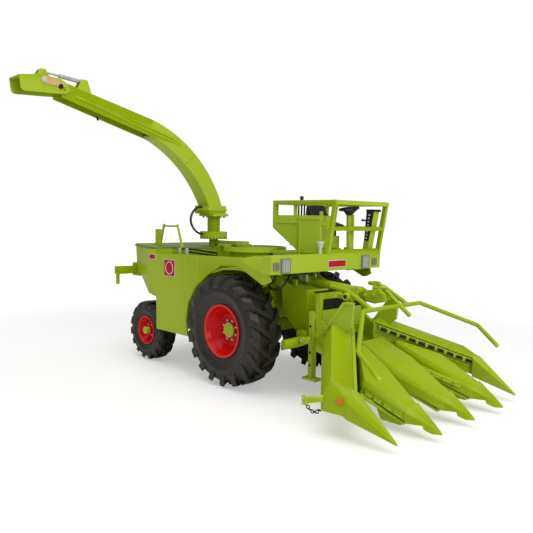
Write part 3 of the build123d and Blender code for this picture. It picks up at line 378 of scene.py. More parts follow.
FINISHES = {
    GREEN: Finish("lime_lacquer", Coat.LACQUER, (0.375, 0.505, 0.001), 0.32, 0.94, 0.020, 0.0006),
    "red_paint": Finish("rim_red_lacquer", Coat.LACQUER, (0.74, 0.008, 0.007), 0.30, 0.92, 0.008, 0.0005),
    "tyre": Finish("tyre_rubber", Coat.RUBBER, (0.033, 0.028, 0.021), 0.38, 0.75, 0.006, 0.00035),
    "rubber": Finish("hose_rubber", Coat.RUBBER, (0.007, 0.007, 0.007), 0.40, 0.85, 0.005, 0.0003),
    "deck_grey": Finish("deck_screen", Coat.MESH, (0.24, 0.32, 0.12), 0.42, 0.92, 0.015, 0.0009),
    "black_plastic": Finish("black_moulding", Coat.PLASTIC, (0.030, 0.030, 0.032), 0.45, 0.80, 0.006, 0.0003),
    CREAM: Finish("cream_moulding", Coat.PLASTIC, (0.78, 0.76, 0.60), 0.38, 0.93, 0.005, 0.0003),
    "lamp_grey": Finish("lamp_lens", Coat.LENS, (0.58, 0.60, 0.56), 0.22, 0.90, 0.003, 0.00045),
    "signal_red": Finish("signal_lens", Coat.LENS, (0.42, 0.22, 0.16), 0.28, 0.60, 0.0015, 0.0006),
    STEEL: Finish("bright_steel", Coat.METAL, (0.80, 0.80, 0.78), 0.26, 0.80, 0.002, 0.0002),
    "reflector_orange": Finish("orange_lens", Coat.LENS, (0.95, 0.16, 0.01), 0.25, 0.85, 0.002, 0.0008),
    BLACK: Finish("chain_black", Coat.PLASTIC, (0.016, 0.018, 0.008), 0.42, 0.75, 0.004, 0.0003),
    "plate_red": Finish("plate_red", Coat.PLASTIC, (0.62, 0.008, 0.014), 0.34, 0.95, 0.004, 0.0003),
    "plate_white": Finish("plate_white", Coat.PLASTIC, (0.80, 0.78, 0.72), 0.38, 0.95, 0.004, 0.0003),
    "nut_plating": Finish("nut_plating", Coat.PLASTIC, (0.72, 0.73, 0.70), 0.30, 0.90, 0.002, 0.0002),
    "bezel_grey": Finish("bezel_grey", Coat.PLASTIC, (0.30, 0.31, 0.29), 0.40, 0.90, 0.003, 0.0003),
    "gold_metal": Finish("gold_plating", Coat.PLASTIC, (0.86, 0.58, 0.24), 0.30, 0.85, 0.003, 0.0002),
}


class Lamp(NamedTuple):
    """One soft square lamp: where it hangs and its side, in metres, and its power in watts."""

    name: str
    place: Point
    size: float
    power: float


@dataclass
class Studio:
    """Camera, lamps, world and the pale floor."""

    eye: Point = (0.18469, -0.18568, 0.06745)
    right: Point = (0.6933, 0.7204, 0.0185)
    back: Point = (0.7174, -0.6923, 0.0776)
    lens_mm: float = 41.03
    sensor_mm: float = 36.0
    clip: tuple = (0.01, 20.0)
    lamps: tuple = (
        Lamp("overhead_softbox", (0.05, -0.10, 0.75), 0.7, 3.0),
        Lamp("camera_side_fill", (0.85, -0.15, 0.38), 0.5, 2.6),
    )
    lamp_aim: Point = (0.0, 0.0, 0.05)
    floor_half: float = 4.0
    floor_grey: float = 0.86
    floor_roughness: float = 0.45
    ambient: float = 0.29
    fade_start: float = 0.16
    fade_end: float = 0.50
    near_lift: float = 0.38

    def camera(self) -> None:
        """Place the camera at the photograph's eye point."""
        back = Vector(self.back).normalized()
        right = (Vector(self.right) - back * Vector(self.right).dot(back)).normalized()
        up = back.cross(right)
        data = bpy.data.cameras.new("studio_camera")
        data.sensor_width = self.sensor_mm
        data.lens = self.lens_mm
        data.clip_start, data.clip_end = self.clip
        camera = bpy.data.objects.new("studio_camera", data)
        camera.matrix_world = Matrix((
            (right.x, up.x, back.x, self.eye[0]), (right.y, up.y, back.y, self.eye[1]),
            (right.z, up.z, back.z, self.eye[2]), (0, 0, 0, 1),
        ))
        bpy.context.scene.collection.objects.link(camera)
        bpy.context.scene.camera = camera

    def hang(self, lamp: Lamp) -> None:
        """Hang one lamp and turn it to the model.

        Args:
            lamp: its name, place, size and power.
        """
        data = bpy.data.lights.new(lamp.name, "AREA")
        data.size = lamp.size
        data.energy = lamp.power
        light = bpy.data.objects.new(lamp.name, data)
        light.location = lamp.place
        light.rotation_mode = "QUATERNION"
        light.rotation_quaternion = (Vector(self.lamp_aim) - Vector(lamp.place)).to_track_quat("-Z", "Y")
        bpy.context.scene.collection.objects.link(light)

    def world(self) -> None:
        """A soft even world that the camera sees as white."""
        world = bpy.data.worlds.new("studio_world")
        world.use_nodes = True
        tree = world.node_tree
        shade = tree.nodes["Background"]
        path = tree.nodes.new("ShaderNodeLightPath")
        seen = tree.nodes.new("ShaderNodeMath")
        seen.operation = "MAXIMUM"
        tree.links.new(path.outputs["Is Camera Ray"], seen.inputs[0])
        tree.links.new(path.outputs["Is Transmission Ray"], seen.inputs[1])
        strength = tree.nodes.new("ShaderNodeMapRange")
        strength.inputs["To Min"].default_value = self.ambient
        strength.inputs["To Max"].default_value = 1.0
        tree.links.new(seen.outputs[0], strength.inputs["Value"])
        tree.links.new(strength.outputs["Result"], shade.inputs["Strength"])
        shade.inputs["Color"].default_value = (1.0, 1.0, 1.0, 1.0)
        bpy.context.scene.world = world

    def floor(self) -> None:
        """A large pale floor that keeps the model's shadow and fades to white away from it."""
        bpy.ops.mesh.primitive_plane_add(size=2 * self.floor_half, location=(0, 0, 0))
        floor = bpy.context.active_object
        floor.name = "studio_floor"
        material = bpy.data.materials.new("studio_floor")
        material.use_nodes = True
        tree = material.node_tree
        surface = tree.nodes["Principled BSDF"]
        surface.inputs["Base Color"].default_value = (self.floor_grey, self.floor_grey, self.floor_grey, 1.0)
        surface.inputs["Roughness"].default_value = self.floor_roughness
        surface.inputs["Emission Color"].default_value = (1.0, 1.0, 1.0, 1.0)
        place = tree.nodes.new("ShaderNodeTexCoord")
        away = tree.nodes.new("ShaderNodeVectorMath")
        away.operation = "LENGTH"
        tree.links.new(place.outputs["Object"], away.inputs[0])
        lift = tree.nodes.new("ShaderNodeMapRange")
        lift.interpolation_type = "SMOOTHSTEP"
        lift.inputs["From Min"].default_value = self.fade_start
        lift.inputs["From Max"].default_value = self.fade_end
        lift.inputs["To Min"].default_value = self.near_lift
        lift.inputs["To Max"].default_value = 1.0
        tree.links.new(away.outputs["Value"], lift.inputs["Value"])
        path = tree.nodes.new("ShaderNodeLightPath")
        seen = tree.nodes.new("ShaderNodeMath")
        seen.operation = "MULTIPLY"
        tree.links.new(path.outputs["Is Camera Ray"], seen.inputs[0])
        tree.links.new(lift.outputs["Result"], seen.inputs[1])
        tree.links.new(seen.outputs[0], surface.inputs["Emission Strength"])
        floor.data.materials.append(material)

    def build(self) -> None:
        """Set up the whole studio."""
        self.camera()
        self.world()
        self.floor()
        for lamp in self.lamps:
            self.hang(lamp)
        bpy.context.scene.view_settings.view_transform = "Standard"


@dataclass
class PaintShop:
    """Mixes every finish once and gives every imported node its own."""

    frame: dict
    made: dict = field(default_factory=dict)

    def finish(self, slot: str) -> bpy.types.Material:
        """Mix a finish, or take it from the shelf.

        Args:
            slot: its key in FINISHES.

        Returns:
            The finish's one material.
        """
        if slot not in self.made:
            self.made[slot] = FINISHES[slot].make()
        return self.made[slot]

    def paint(self) -> None:
        """Put the slot's material on every node."""
        slots = {part["node"]: part["material_slot"] for part in self.frame["record"]["subparts"]}
        for name, node in self.frame["nodes"].items():
            node.data.materials.clear()
            node.data.materials.append(self.finish(slots[name]))
            LOG.info("painted %s as %s", name, slots[name])


class Bench:
    """Models single pieces with Blender's own operators. Sizes are given in millimetres."""

    bevel_from = math.radians(20)
    smooth_to = math.radians(28)
    round_to = math.radians(50)

    @staticmethod
    def clear() -> None:
        """Deselect everything."""
        bpy.ops.object.select_all(action="DESELECT")

    @staticmethod
    def named(name: str) -> bpy.types.Object:
        """Name the object that was just added.

        Args:
            name: its new name.

        Returns:
            The object.
        """
        piece = bpy.context.active_object
        piece.name = name
        piece.data.name = name
        return piece

    def joined(self, whole: bpy.types.Object, parts: Iterable[bpy.types.Object]) -> bpy.types.Object:
        """Join parts to a piece, which keeps its name.

        Args:
            whole: the piece.
            parts: what is joined to it.

        Returns:
            The piece.
        """
        self.clear()
        for piece in (whole, *parts):
            piece.select_set(True)
        bpy.context.view_layer.objects.active = whole
        bpy.ops.object.join()
        return whole

    def bevelled(self, piece: bpy.types.Object, width: float, segments: int = 2) -> None:
        """Round a piece's sharp edges and apply the rounding.

        Args:
            piece: the piece, which is the active object.
            width: the width of the rounding.
            segments: its number of steps.
        """
        bpy.ops.object.modifier_add(type="BEVEL")
        rounding = piece.modifiers[-1]
        rounding.width = width * MM
        rounding.segments = segments
        rounding.limit_method = "ANGLE"
        rounding.angle_limit = self.bevel_from
        bpy.ops.object.modifier_apply(modifier=rounding.name)
        bpy.ops.object.shade_smooth_by_angle(angle=self.smooth_to)

    def skin(self, name: str, rings: Sequence, bevel: float, tip: Point | None = None) -> bpy.types.Object:
        """Extrude a polygon through rings of corners, and close it at a tip or at its last ring.

        Args:
            name: the piece's name.
            rings: lists of corner points with equal lengths.
            bevel: the width of its rounded folds.
            tip: the closing point, if there is one.

        Returns:
            The piece, with its place in its mesh.
        """
        self.clear()
        bpy.ops.mesh.primitive_circle_add(vertices=len(rings[0]), radius=0.01, fill_type="NGON")
        piece = self.named(name)
        bpy.ops.object.mode_set(mode="EDIT")
        shape = bmesh.from_edit_mesh(piece.data)
        shape.verts.ensure_lookup_table()
        for vertex, corner in zip(shape.verts, rings[0]):
            vertex.co = Vector(corner) * MM
        bmesh.update_edit_mesh(piece.data)
        for last, following in zip(rings, rings[1:]):
            self.step(piece, last, following)
        if tip is not None:
            bpy.ops.mesh.extrude_region_move()
            bpy.ops.mesh.merge(type="CENTER")
            shape = bmesh.from_edit_mesh(piece.data)
            for vertex in shape.verts:
                if vertex.select:
                    vertex.co = Vector(tip) * MM
            bmesh.update_edit_mesh(piece.data)
        bpy.ops.mesh.select_all(action="SELECT")
        bpy.ops.mesh.normals_make_consistent(inside=False)
        bpy.ops.object.mode_set(mode="OBJECT")
        self.bevelled(piece, bevel)
        return piece

    @staticmethod
    def step(piece: bpy.types.Object, last: Sequence, following: Sequence) -> None:
        """Extrude the selected face of a piece from one ring of corners to the next.

        Args:
            piece: the piece, in edit mode.
            last: the corners that its selected face has.
            following: the corners that the new face gets, in the same order.
        """
        bpy.ops.mesh.extrude_region_move()
        shape = bmesh.from_edit_mesh(piece.data)
        moved = [vertex for vertex in shape.verts if vertex.select]
        pairs = [(min(moved, key=lambda v, c=Vector(old) * MM: (v.co - c).length), new)
                 for old, new in zip(last, following)]
        for vertex, corner in pairs:
            vertex.co = Vector(corner) * MM
        bmesh.update_edit_mesh(piece.data)

    def block(self, name: str, low: Point, high: Point, bevel: float) -> bpy.types.Object:
        """A bevelled box.

        Args:
            name: the piece's name.
            low: one corner.
            high: the corner across from it.
            bevel: the width of its bevels.

        Returns:
            The piece, with its place in its mesh.
        """
        self.clear()
        bpy.ops.mesh.primitive_cube_add(size=MM)
        piece = self.named(name)
        bpy.ops.object.mode_set(mode="EDIT")
        bpy.ops.transform.resize(value=tuple(h - l for l, h in zip(low, high)))
        bpy.ops.transform.translate(value=tuple((h + l) / 2 * MM for l, h in zip(low, high)))
        bpy.ops.object.mode_set(mode="OBJECT")
        self.bevelled(piece, bevel, 1)
        return piece

    def rod(self, name: str, start: Point, end: Point, radius: float, sides: int,
            bevel: float) -> bpy.types.Object:
        """A round bar with bevelled ends between two points.

        Args:
            name: the piece's name.
            start: the middle of one end.
            end: the middle of the other end.
            radius: the bar's radius.
            sides: its number of sides; six make a nut.
            bevel: the width of its bevelled ends.

        Returns:
            The piece, with its place in its mesh.
        """
        self.clear()
        a, b = Vector(start) * MM, Vector(end) * MM
        turn = (b - a).to_track_quat("Z", "Y").to_euler()
        bpy.ops.mesh.primitive_cylinder_add(vertices=sides, radius=radius * MM, depth=(b - a).length,
                                            location=(a + b) / 2, rotation=turn)
        piece = self.named(name)
        bpy.ops.object.transform_apply(location=True, rotation=True, scale=True)
        self.bevelled(piece, bevel)
        return piece

    def ring(self, name: str, centre: Point, axis: Point, radius: float, thick: float,
             sides: int) -> bpy.types.Object:
        """A ring of round wire.

        Args:
            name: the piece's name.
            centre: its middle.
            axis: the direction that it goes round.
            radius: the radius of the wire's middle line.
            thick: the wire's own radius.
            sides: its number of steps round the axis.

        Returns:
            The piece, with its place in its mesh.
        """
        self.clear()
        turn = Vector(axis).to_track_quat("Z", "Y").to_euler()
        bpy.ops.mesh.primitive_torus_add(major_segments=sides, minor_segments=8, major_radius=radius * MM,
                                         minor_radius=thick * MM, location=Vector(centre) * MM, rotation=turn)
        piece = self.named(name)
        bpy.ops.object.transform_apply(location=True, rotation=True, scale=True)
        bpy.ops.object.shade_smooth_by_angle(angle=self.round_to)
        return piece

    def hose(self, name: str, points: Sequence, radius: float) -> bpy.types.Object:
        """A hose, bent tube or bead on a smooth curve near given points.

        Args:
            name: the piece's name.
            points: the points that pull the curve. It starts and ends at the outer two.
            radius: its radius.

        Returns:
            The piece, with its place in its mesh.
        """
        self.clear()
        data = bpy.data.curves.new(name, "CURVE")
        data.dimensions = "3D"
        data.bevel_depth = radius * MM
        data.bevel_resolution = 4
        data.use_fill_caps = True
        line = data.splines.new("NURBS")
        line.points.add(len(points) - 1)
        for point, place in zip(line.points, points):
            point.co = (*(c * MM for c in place), 1.0)
        line.order_u = 3
        line.use_endpoint_u = True
        piece = bpy.data.objects.new(name, data)
        bpy.context.scene.collection.objects.link(piece)
        piece.select_set(True)
        bpy.context.view_layer.objects.active = piece
        bpy.ops.object.convert(target="MESH")
        bpy.ops.object.shade_smooth_by_angle(angle=self.round_to)
        return bpy.context.active_object


def flipped(points: Iterable[Point]) -> list[Point]:
    """The same corners on the other side of the machine."""
    return [(x, -y, z) for x, y, z in points]


@dataclass
class Dresser:
    """Finishes pieces and hands them to their bodies. Home is the body of most pieces of a section."""

    home: ClassVar[str] = "header"
    shop: PaintShop
    bench: Bench = field(default_factory=Bench)

    def hand_over(self, piece: bpy.types.Object, slot: str = GREEN, finish: str | None = None,
                  body: str | None = None) -> bpy.types.Object:
        """Give a piece its finish and its body.

        Args:
            piece: the new piece.
            slot: the record's material slot that it takes its finish from.
            finish: another finish of the shop, where the slot's own doesn't suit.
            body: the body that it moves with, where that isn't the section's home.

        Returns:
            The same piece.
        """
        body = body or self.home
        piece.data.materials.clear()
        piece.data.materials.append(self.shop.finish(finish or slot))
        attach(piece, body)
        LOG.info("made %s on %s", piece.name, body)
        return piece

    def block(self, name: str, low: Point, high: Point, bevel: float, **look: str) -> None:
        """Make a box with Bench.block and hand it over with a look of slot, finish and body."""
        self.hand_over(self.bench.block(name, low, high, bevel), **look)

    def rod(self, name: str, start: Point, end: Point, radius: float, sides: int, bevel: float,
            **look: str) -> None:
        """Make a bar with Bench.rod and hand it over with a look of slot, finish and body."""
        self.hand_over(self.bench.rod(name, start, end, radius, sides, bevel), **look)

    def strip(self, name: str, ends: Iterable[Vector], sideways: tuple[Vector, Vector],
              heights: tuple[float, float], bevel: float, turn: Callable = list) -> None:
        """Make a straight green strip with one cross-section and hand it over.

        Args:
            name: the piece's name.
            ends: the two points that it runs between.
            sideways: the places of its two sides beside those points.
            heights: the heights of its two faces above them.
            bevel: the width of its rounded edges.
            turn: flips its corners, where it lies on the machine's left.
        """
        near, far = sideways
        first, second = (UP * height for height in heights)
        rings = [turn([p + near + first, p + far + first, p + far + second, p + near + second]) for p in ends]
        self.hand_over(self.bench.skin(name, rings, bevel))


class Lip(NamedTuple):
    """A rolled edge along a trough: its drop below the trough's top, its reach and its thickness."""

    name: str
    drop: float
    reach: float
    thick: float


@dataclass
class OuterDivider(Dresser):
    """An outer divider: slanted trough, raised point cap, lips along the chain and a reflector.

    The corners are those of the right one.
    """

    rear: tuple = (
        (40.6, -17.7, 20.5), (40.6, -17.7, 22.5), (43.3, -15.5, 29.6), (44.4, -11.3, 29.5),
        (45.5, -6.8, 29.1), (45.5, -6.8, 20.0),
    )
    kink: tuple = (
        (63.4, -43.9, 8.1), (63.3, -44.0, 12.1), (65.5, -41.8, 17.7), (68.0, -39.6, 16.9),
        (70.8, -37.1, 15.1), (70.8, -37.1, 8.0),
    )
    neck: tuple = (
        (72.9, -42.6, 7.9), (72.9, -42.7, 8.7), (73.0, -42.2, 12.2), (73.4, -40.3, 14.7),
        (72.8, -36.7, 14.0), (72.8, -36.7, 7.6),
    )
    cap: tuple = (
        (72.0, -43.1, 7.4), (72.0, -43.2, 8.4), (72.1, -42.7, 12.6), (72.6, -40.5, 15.4),
        (72.0, -36.2, 14.7), (72.0, -36.2, 7.2),
    )
    tip: Point = (90.4, -39.0, 2.1)
    lips: tuple = (Lip("upper", -0.1, 1.1, 0.35), Lip("lower", -3.8, 0.6, 0.4))
    lip_start: float = 1.0
    lip_end: float = 1.2
    reflector: Point = (70.3, -43.15, 12.6)
    reflector_faces: Point = (0.35, -0.90, 0.25)
    reflector_depth: float = 0.6
    reflector_proud: float = 0.35
    reflector_radius: float = 0.95

    def build(self, side: str, turn: Callable) -> None:
        """Make one outer divider.

        Args:
            side: right or left.
            turn: lists the right side's corners for this side.
        """
        rings = [turn(ring) for ring in (self.rear, self.kink, self.neck)]
        trough = self.bench.skin(f"outer_trough_{side}", rings, 0.4)
        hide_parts(f"divider_{side}_outer")
        self.hand_over(trough)
        self.hand_over(self.bench.skin(f"outer_point_{side}", [turn(self.cap)], 0.35, turn([self.tip])[0]))
        self.edges(side, turn)
        middle, out = (Vector(place) for place in turn([self.reflector, self.reflector_faces]))
        out.normalize()
        back, front = middle - out * self.reflector_depth, middle + out * self.reflector_proud
        self.rod(f"reflector_{side}", back, front, self.reflector_radius, 20, 0.25,
                 slot="signal_red", finish="reflector_orange")

    def edges(self, side: str, turn: Callable) -> None:
        """The rolled edge above the chain and the channel's lower edge.

        Args:
            side: right or left.
            turn: lists the right side's corners for this side.
        """
        start, end = Vector(self.rear[4]), Vector(self.kink[4])
        along = (end - start).normalized()
        across = UP.cross(along).normalized()
        for lip in self.lips:
            drop = UP * lip.drop
            ends = (start + along * self.lip_start + drop, end + along * self.lip_end + drop)
            sideways = (Vector(), across * lip.reach)
            self.strip(f"chain_lip_{lip.name}_{side}", ends, sideways, (0.0, -lip.thick), 0.1, turn)


class RowSheet(NamedTuple):
    """An inner divider: its node, its cap's middle line, and x with the y and z of each section's corners."""

    node: str
    middle: float
    sections: tuple


@dataclass
class InnerDivider(Dresser):
    """A divider between two rows: folded sheet body and a point cap with a notched shoe."""

    # x and the height of the cap's underside there: its rear, both sides of the notch, the shoe's front
    underside: tuple = ((81.3, 4.2), (86.6, 4.4), (86.9, 3.2), (89.4, 2.3))
    tip_x: float = 93.0
    tip_z: float = 2.7

    def cap_ring(self, x: float, middle: float, bottom: float) -> list[Point]:
        """The cap's corners at one x.

        Args:
            x: where the ring is.
            middle: the cap's middle line.
            bottom: the height of its underside there.

        Returns:
            Five corners from the near lower one round to the far lower one.
        """
        share = (self.tip_x - x) / (self.tip_x - self.underside[0][0])
        top = self.tip_z + 0.3
        shoulder = max(top + 5.0 * share, bottom + 0.3)
        return [
            (x, middle - 3.8 * share, bottom), (x, middle - 3.9 * share, shoulder),
            (x, middle - 1.7 * share, top + 6.4 * share), (x, middle + 3.6 * share, top + 6.7 * share),
            (x, middle + 3.6 * share, bottom),
        ]

    def build(self, row: RowSheet) -> None:
        """Make one inner divider.

        Args:
            row: its node and its shape.
        """
        name = row.node.replace("divider_", "row_")
        sections = [[(x, y, z) for y, z in outline] for x, *outline in row.sections]
        sheet = self.bench.skin(f"{name}_sheet", sections, 0.35)
        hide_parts(row.node)
        self.hand_over(sheet)
        rings = [self.cap_ring(x, row.middle, bottom) for x, bottom in self.underside]
        self.hand_over(self.bench.skin(f"{name}_cap", rings, 0.25, (self.tip_x, row.middle, self.tip_z)))


@dataclass
class Header(Dresser):
    """The maize header's five dividers with their fittings."""

    rows: tuple = (
        RowSheet("divider_right_inner", -20.6, (
            (52.0, (-11.5, 15.0), (-11.5, 20.8), (-10.8, 22.2), (-7.5, 22.6), (-7.5, 15.0)),
            (64.0, (-24.0, 10.2), (-24.1, 12.6), (-22.8, 15.0), (-9.3, 16.2), (-9.3, 10.2)),
            (82.4, (-24.0, 4.3), (-24.1, 7.5), (-22.4, 8.6), (-17.9, 8.8), (-17.9, 4.3)),
        )),
        RowSheet("divider_centre", 0.2, (
            (50.0, (-7.0, 15.6), (-7.0, 21.6), (-6.0, 23.2), (6.6, 23.4), (7.0, 15.6)),
            (63.6, (-7.0, 10.4), (-7.1, 14.2), (-5.9, 16.8), (6.0, 18.2), (6.6, 10.4)),
            (82.4, (-3.5, 4.3), (-3.6, 7.5), (-1.7, 8.6), (2.9, 8.8), (2.9, 4.3)),
        )),
        RowSheet("divider_left_inner", 20.8, (
            (53.0, (11.0, 14.8), (11.1, 20.4), (11.8, 21.9), (15.5, 21.0), (15.5, 14.8)),
            (66.0, (13.9, 9.6), (13.9, 14.1), (14.8, 16.1), (22.6, 17.4), (23.2, 9.6)),
            (82.4, (17.2, 4.3), (17.1, 7.5), (18.9, 8.6), (23.8, 8.9), (23.9, 4.3)),
        )),
    )

    def build(self) -> None:
        """Make all five dividers."""
        for side, turn in (("right", list), ("left", flipped)):
            OuterDivider(self.shop).build(side, turn)
        for row in self.rows:
            InnerDivider(self.shop).build(row)


class Run(NamedTuple):
    """A chain's run on the right: its ends, the side of its rail and the finish of its links."""

    name: str
    start: Point
    end: Point
    rail_side: int
    finish: str


@dataclass
class Chains(Dresser):
    """The six gathering chains with their rails: a long dark one along each outer trough, and short green
    ones on both sides of the right and the left inner divider."""

    pitch: float = 4.05
    pin_places: tuple = (0.15, 1.05, 1.95)
    rail_sides: tuple = (0.2, 1.0)
    rail_heights: tuple = (0.9, -1.1)
    rail_before: float = 0.8
    rail_beyond: float = 1.6
    runs: tuple = (
        Run("outer", (48.4, -8.0, 26.3), (72.2, -36.7, 13.1), -1, BLACK),
        Run("near", (65.6, -24.1, 10.9), (79.4, -24.1, 6.6), 1, GREEN),
        Run("far", (66.0, -9.6, 13.4), (80.4, -17.6, 7.6), -1, GREEN),
    )

    def link(self, name: str) -> bpy.types.Object:
        """One link at the origin: a side plate with three pins on it.

        Args:
            name: its name.

        Returns:
            The link.
        """
        plate = self.bench.block(name, (0.0, -0.5, -0.8), (2.7, 0.8, -0.2), 0.08)
        pins = [self.bench.block(f"{name}_pin", (x, -0.4, -0.2), (x + 0.5, 0.8, 0.45), 0.08)
                for x in self.pin_places]
        return self.bench.joined(plate, pins)

    def build(self) -> None:
        """Lay all six chains, each side in one run of joined links."""
        for run in self.runs:
            for side, sign in SIDES:
                a, b = (Vector((x, -sign * y, z)) for x, y, z in (run.start, run.end))
                self.chain(f"chain_{run.name}_{side}", a, b, run.finish)
                self.rail(f"guide_{run.name}_{side}", a, b, -sign * run.rail_side)
        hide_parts("gathering_chains")

    def chain(self, name: str, a: Vector, b: Vector, finish: str) -> bpy.types.Object:
        """Copy the link along a line.

        Args:
            name: the chain's name.
            a: where the chain starts.
            b: where it ends.
            finish: the finish of its links.

        Returns:
            The chain as one piece.
        """
        along = (b - a).normalized()
        across = UP.cross(along).normalized()
        turn = Matrix((along, across, along.cross(across))).transposed().to_4x4()
        pattern = self.link(name)
        links = []
        for index in range(int((b - a).length / self.pitch) + 1):
            link = pattern.copy()
            link.data = pattern.data.copy()
            spot = (a + along * (index * self.pitch)) * MM
            link.data.transform(Matrix.Translation(spot) @ turn)
            bpy.context.scene.collection.objects.link(link)
            links.append(link)
        bpy.data.objects.remove(pattern)
        self.bench.joined(links[0], links[1:])
        return self.hand_over(self.bench.named(name), finish=finish)

    def rail(self, name: str, a: Vector, b: Vector, outwards: int) -> None:
        """The rail behind a chain.

        Args:
            name: the rail's name.
            a: where the chain starts.
            b: where it ends.
            outwards: 1 or -1, the side of the chain that it lies on.
        """
        along = (b - a).normalized()
        across = UP.cross(along).normalized() * outwards
        ends = (a - along * self.rail_before, b + along * self.rail_beyond)
        near, far = (across * reach for reach in self.rail_sides)
        self.strip(name, ends, (near, far), self.rail_heights, 0.1)


class Wheel(NamedTuple):
    """A pair of wheels. The discs' faces and the wall rings are measured out from the half track."""

    body: str
    axle_x: float
    axle_z: float
    half_track: float
    disc_reach: float
    nut_circle: float
    nut_radius: float
    nuts: int
    wall_rings: tuple


@dataclass
class Wheels(Dresser):
    """Wheel nuts and a step ring on the hub discs, and raised rings on the tyres' walls."""

    pairs: tuple = (
        Wheel("front_wheel", 0.0, 22.6, 26.0, 0.9, 4.0, 0.5, 8, ((15.6, 7.02), (12.4, 5.95))),
        Wheel("rear_wheel", -59.9, 13.9, 24.6, 0.9, 2.75, 0.34, 6, ((9.5, 4.22), (7.7, 3.62))),
    )
    nut_depth: float = 0.2
    nut_height: float = 0.75
    step_share: float = 1.6

    def build(self) -> None:
        """Dress the four wheels."""
        for wheel in self.pairs:
            for side, sign in SIDES:
                self.dress(wheel, f"{wheel.body}_{side}", sign)

    def dress(self, wheel: Wheel, name: str, sign: int) -> None:
        """Dress one wheel.

        Args:
            wheel: its sizes.
            name: its body.
            sign: 1 on the machine's left, -1 on its right.
        """
        face = sign * (wheel.half_track + wheel.disc_reach)
        for index in range(wheel.nuts):
            turn = 2 * math.pi * (index + 0.5) / wheel.nuts
            x = wheel.axle_x + wheel.nut_circle * math.sin(turn)
            z = wheel.axle_z + wheel.nut_circle * math.cos(turn)
            self.rod(f"{name}_nut_{index}", (x, face - sign * self.nut_depth, z),
                     (x, face + sign * self.nut_height, z), wheel.nut_radius, 6, 0.08,
                     slot=STEEL, finish="nut_plating", body=name)
        step = self.bench.ring(f"{name}_disc_step", (wheel.axle_x, face, wheel.axle_z), ACROSS,
                               wheel.nut_circle * self.step_share, 0.3, 64)
        self.hand_over(step, "red_paint", body=name)
        for number, (radius, reach) in enumerate(wheel.wall_rings):
            for wall, out in (("outer", 1), ("inner", -1)):
                middle = (wheel.axle_x, sign * (wheel.half_track + out * reach), wheel.axle_z)
                ring = self.bench.ring(f"{name}_{wall}_wall_{number}", middle, ACROSS, radius, 0.24, 72)
                self.hand_over(ring, "tyre", body=name)


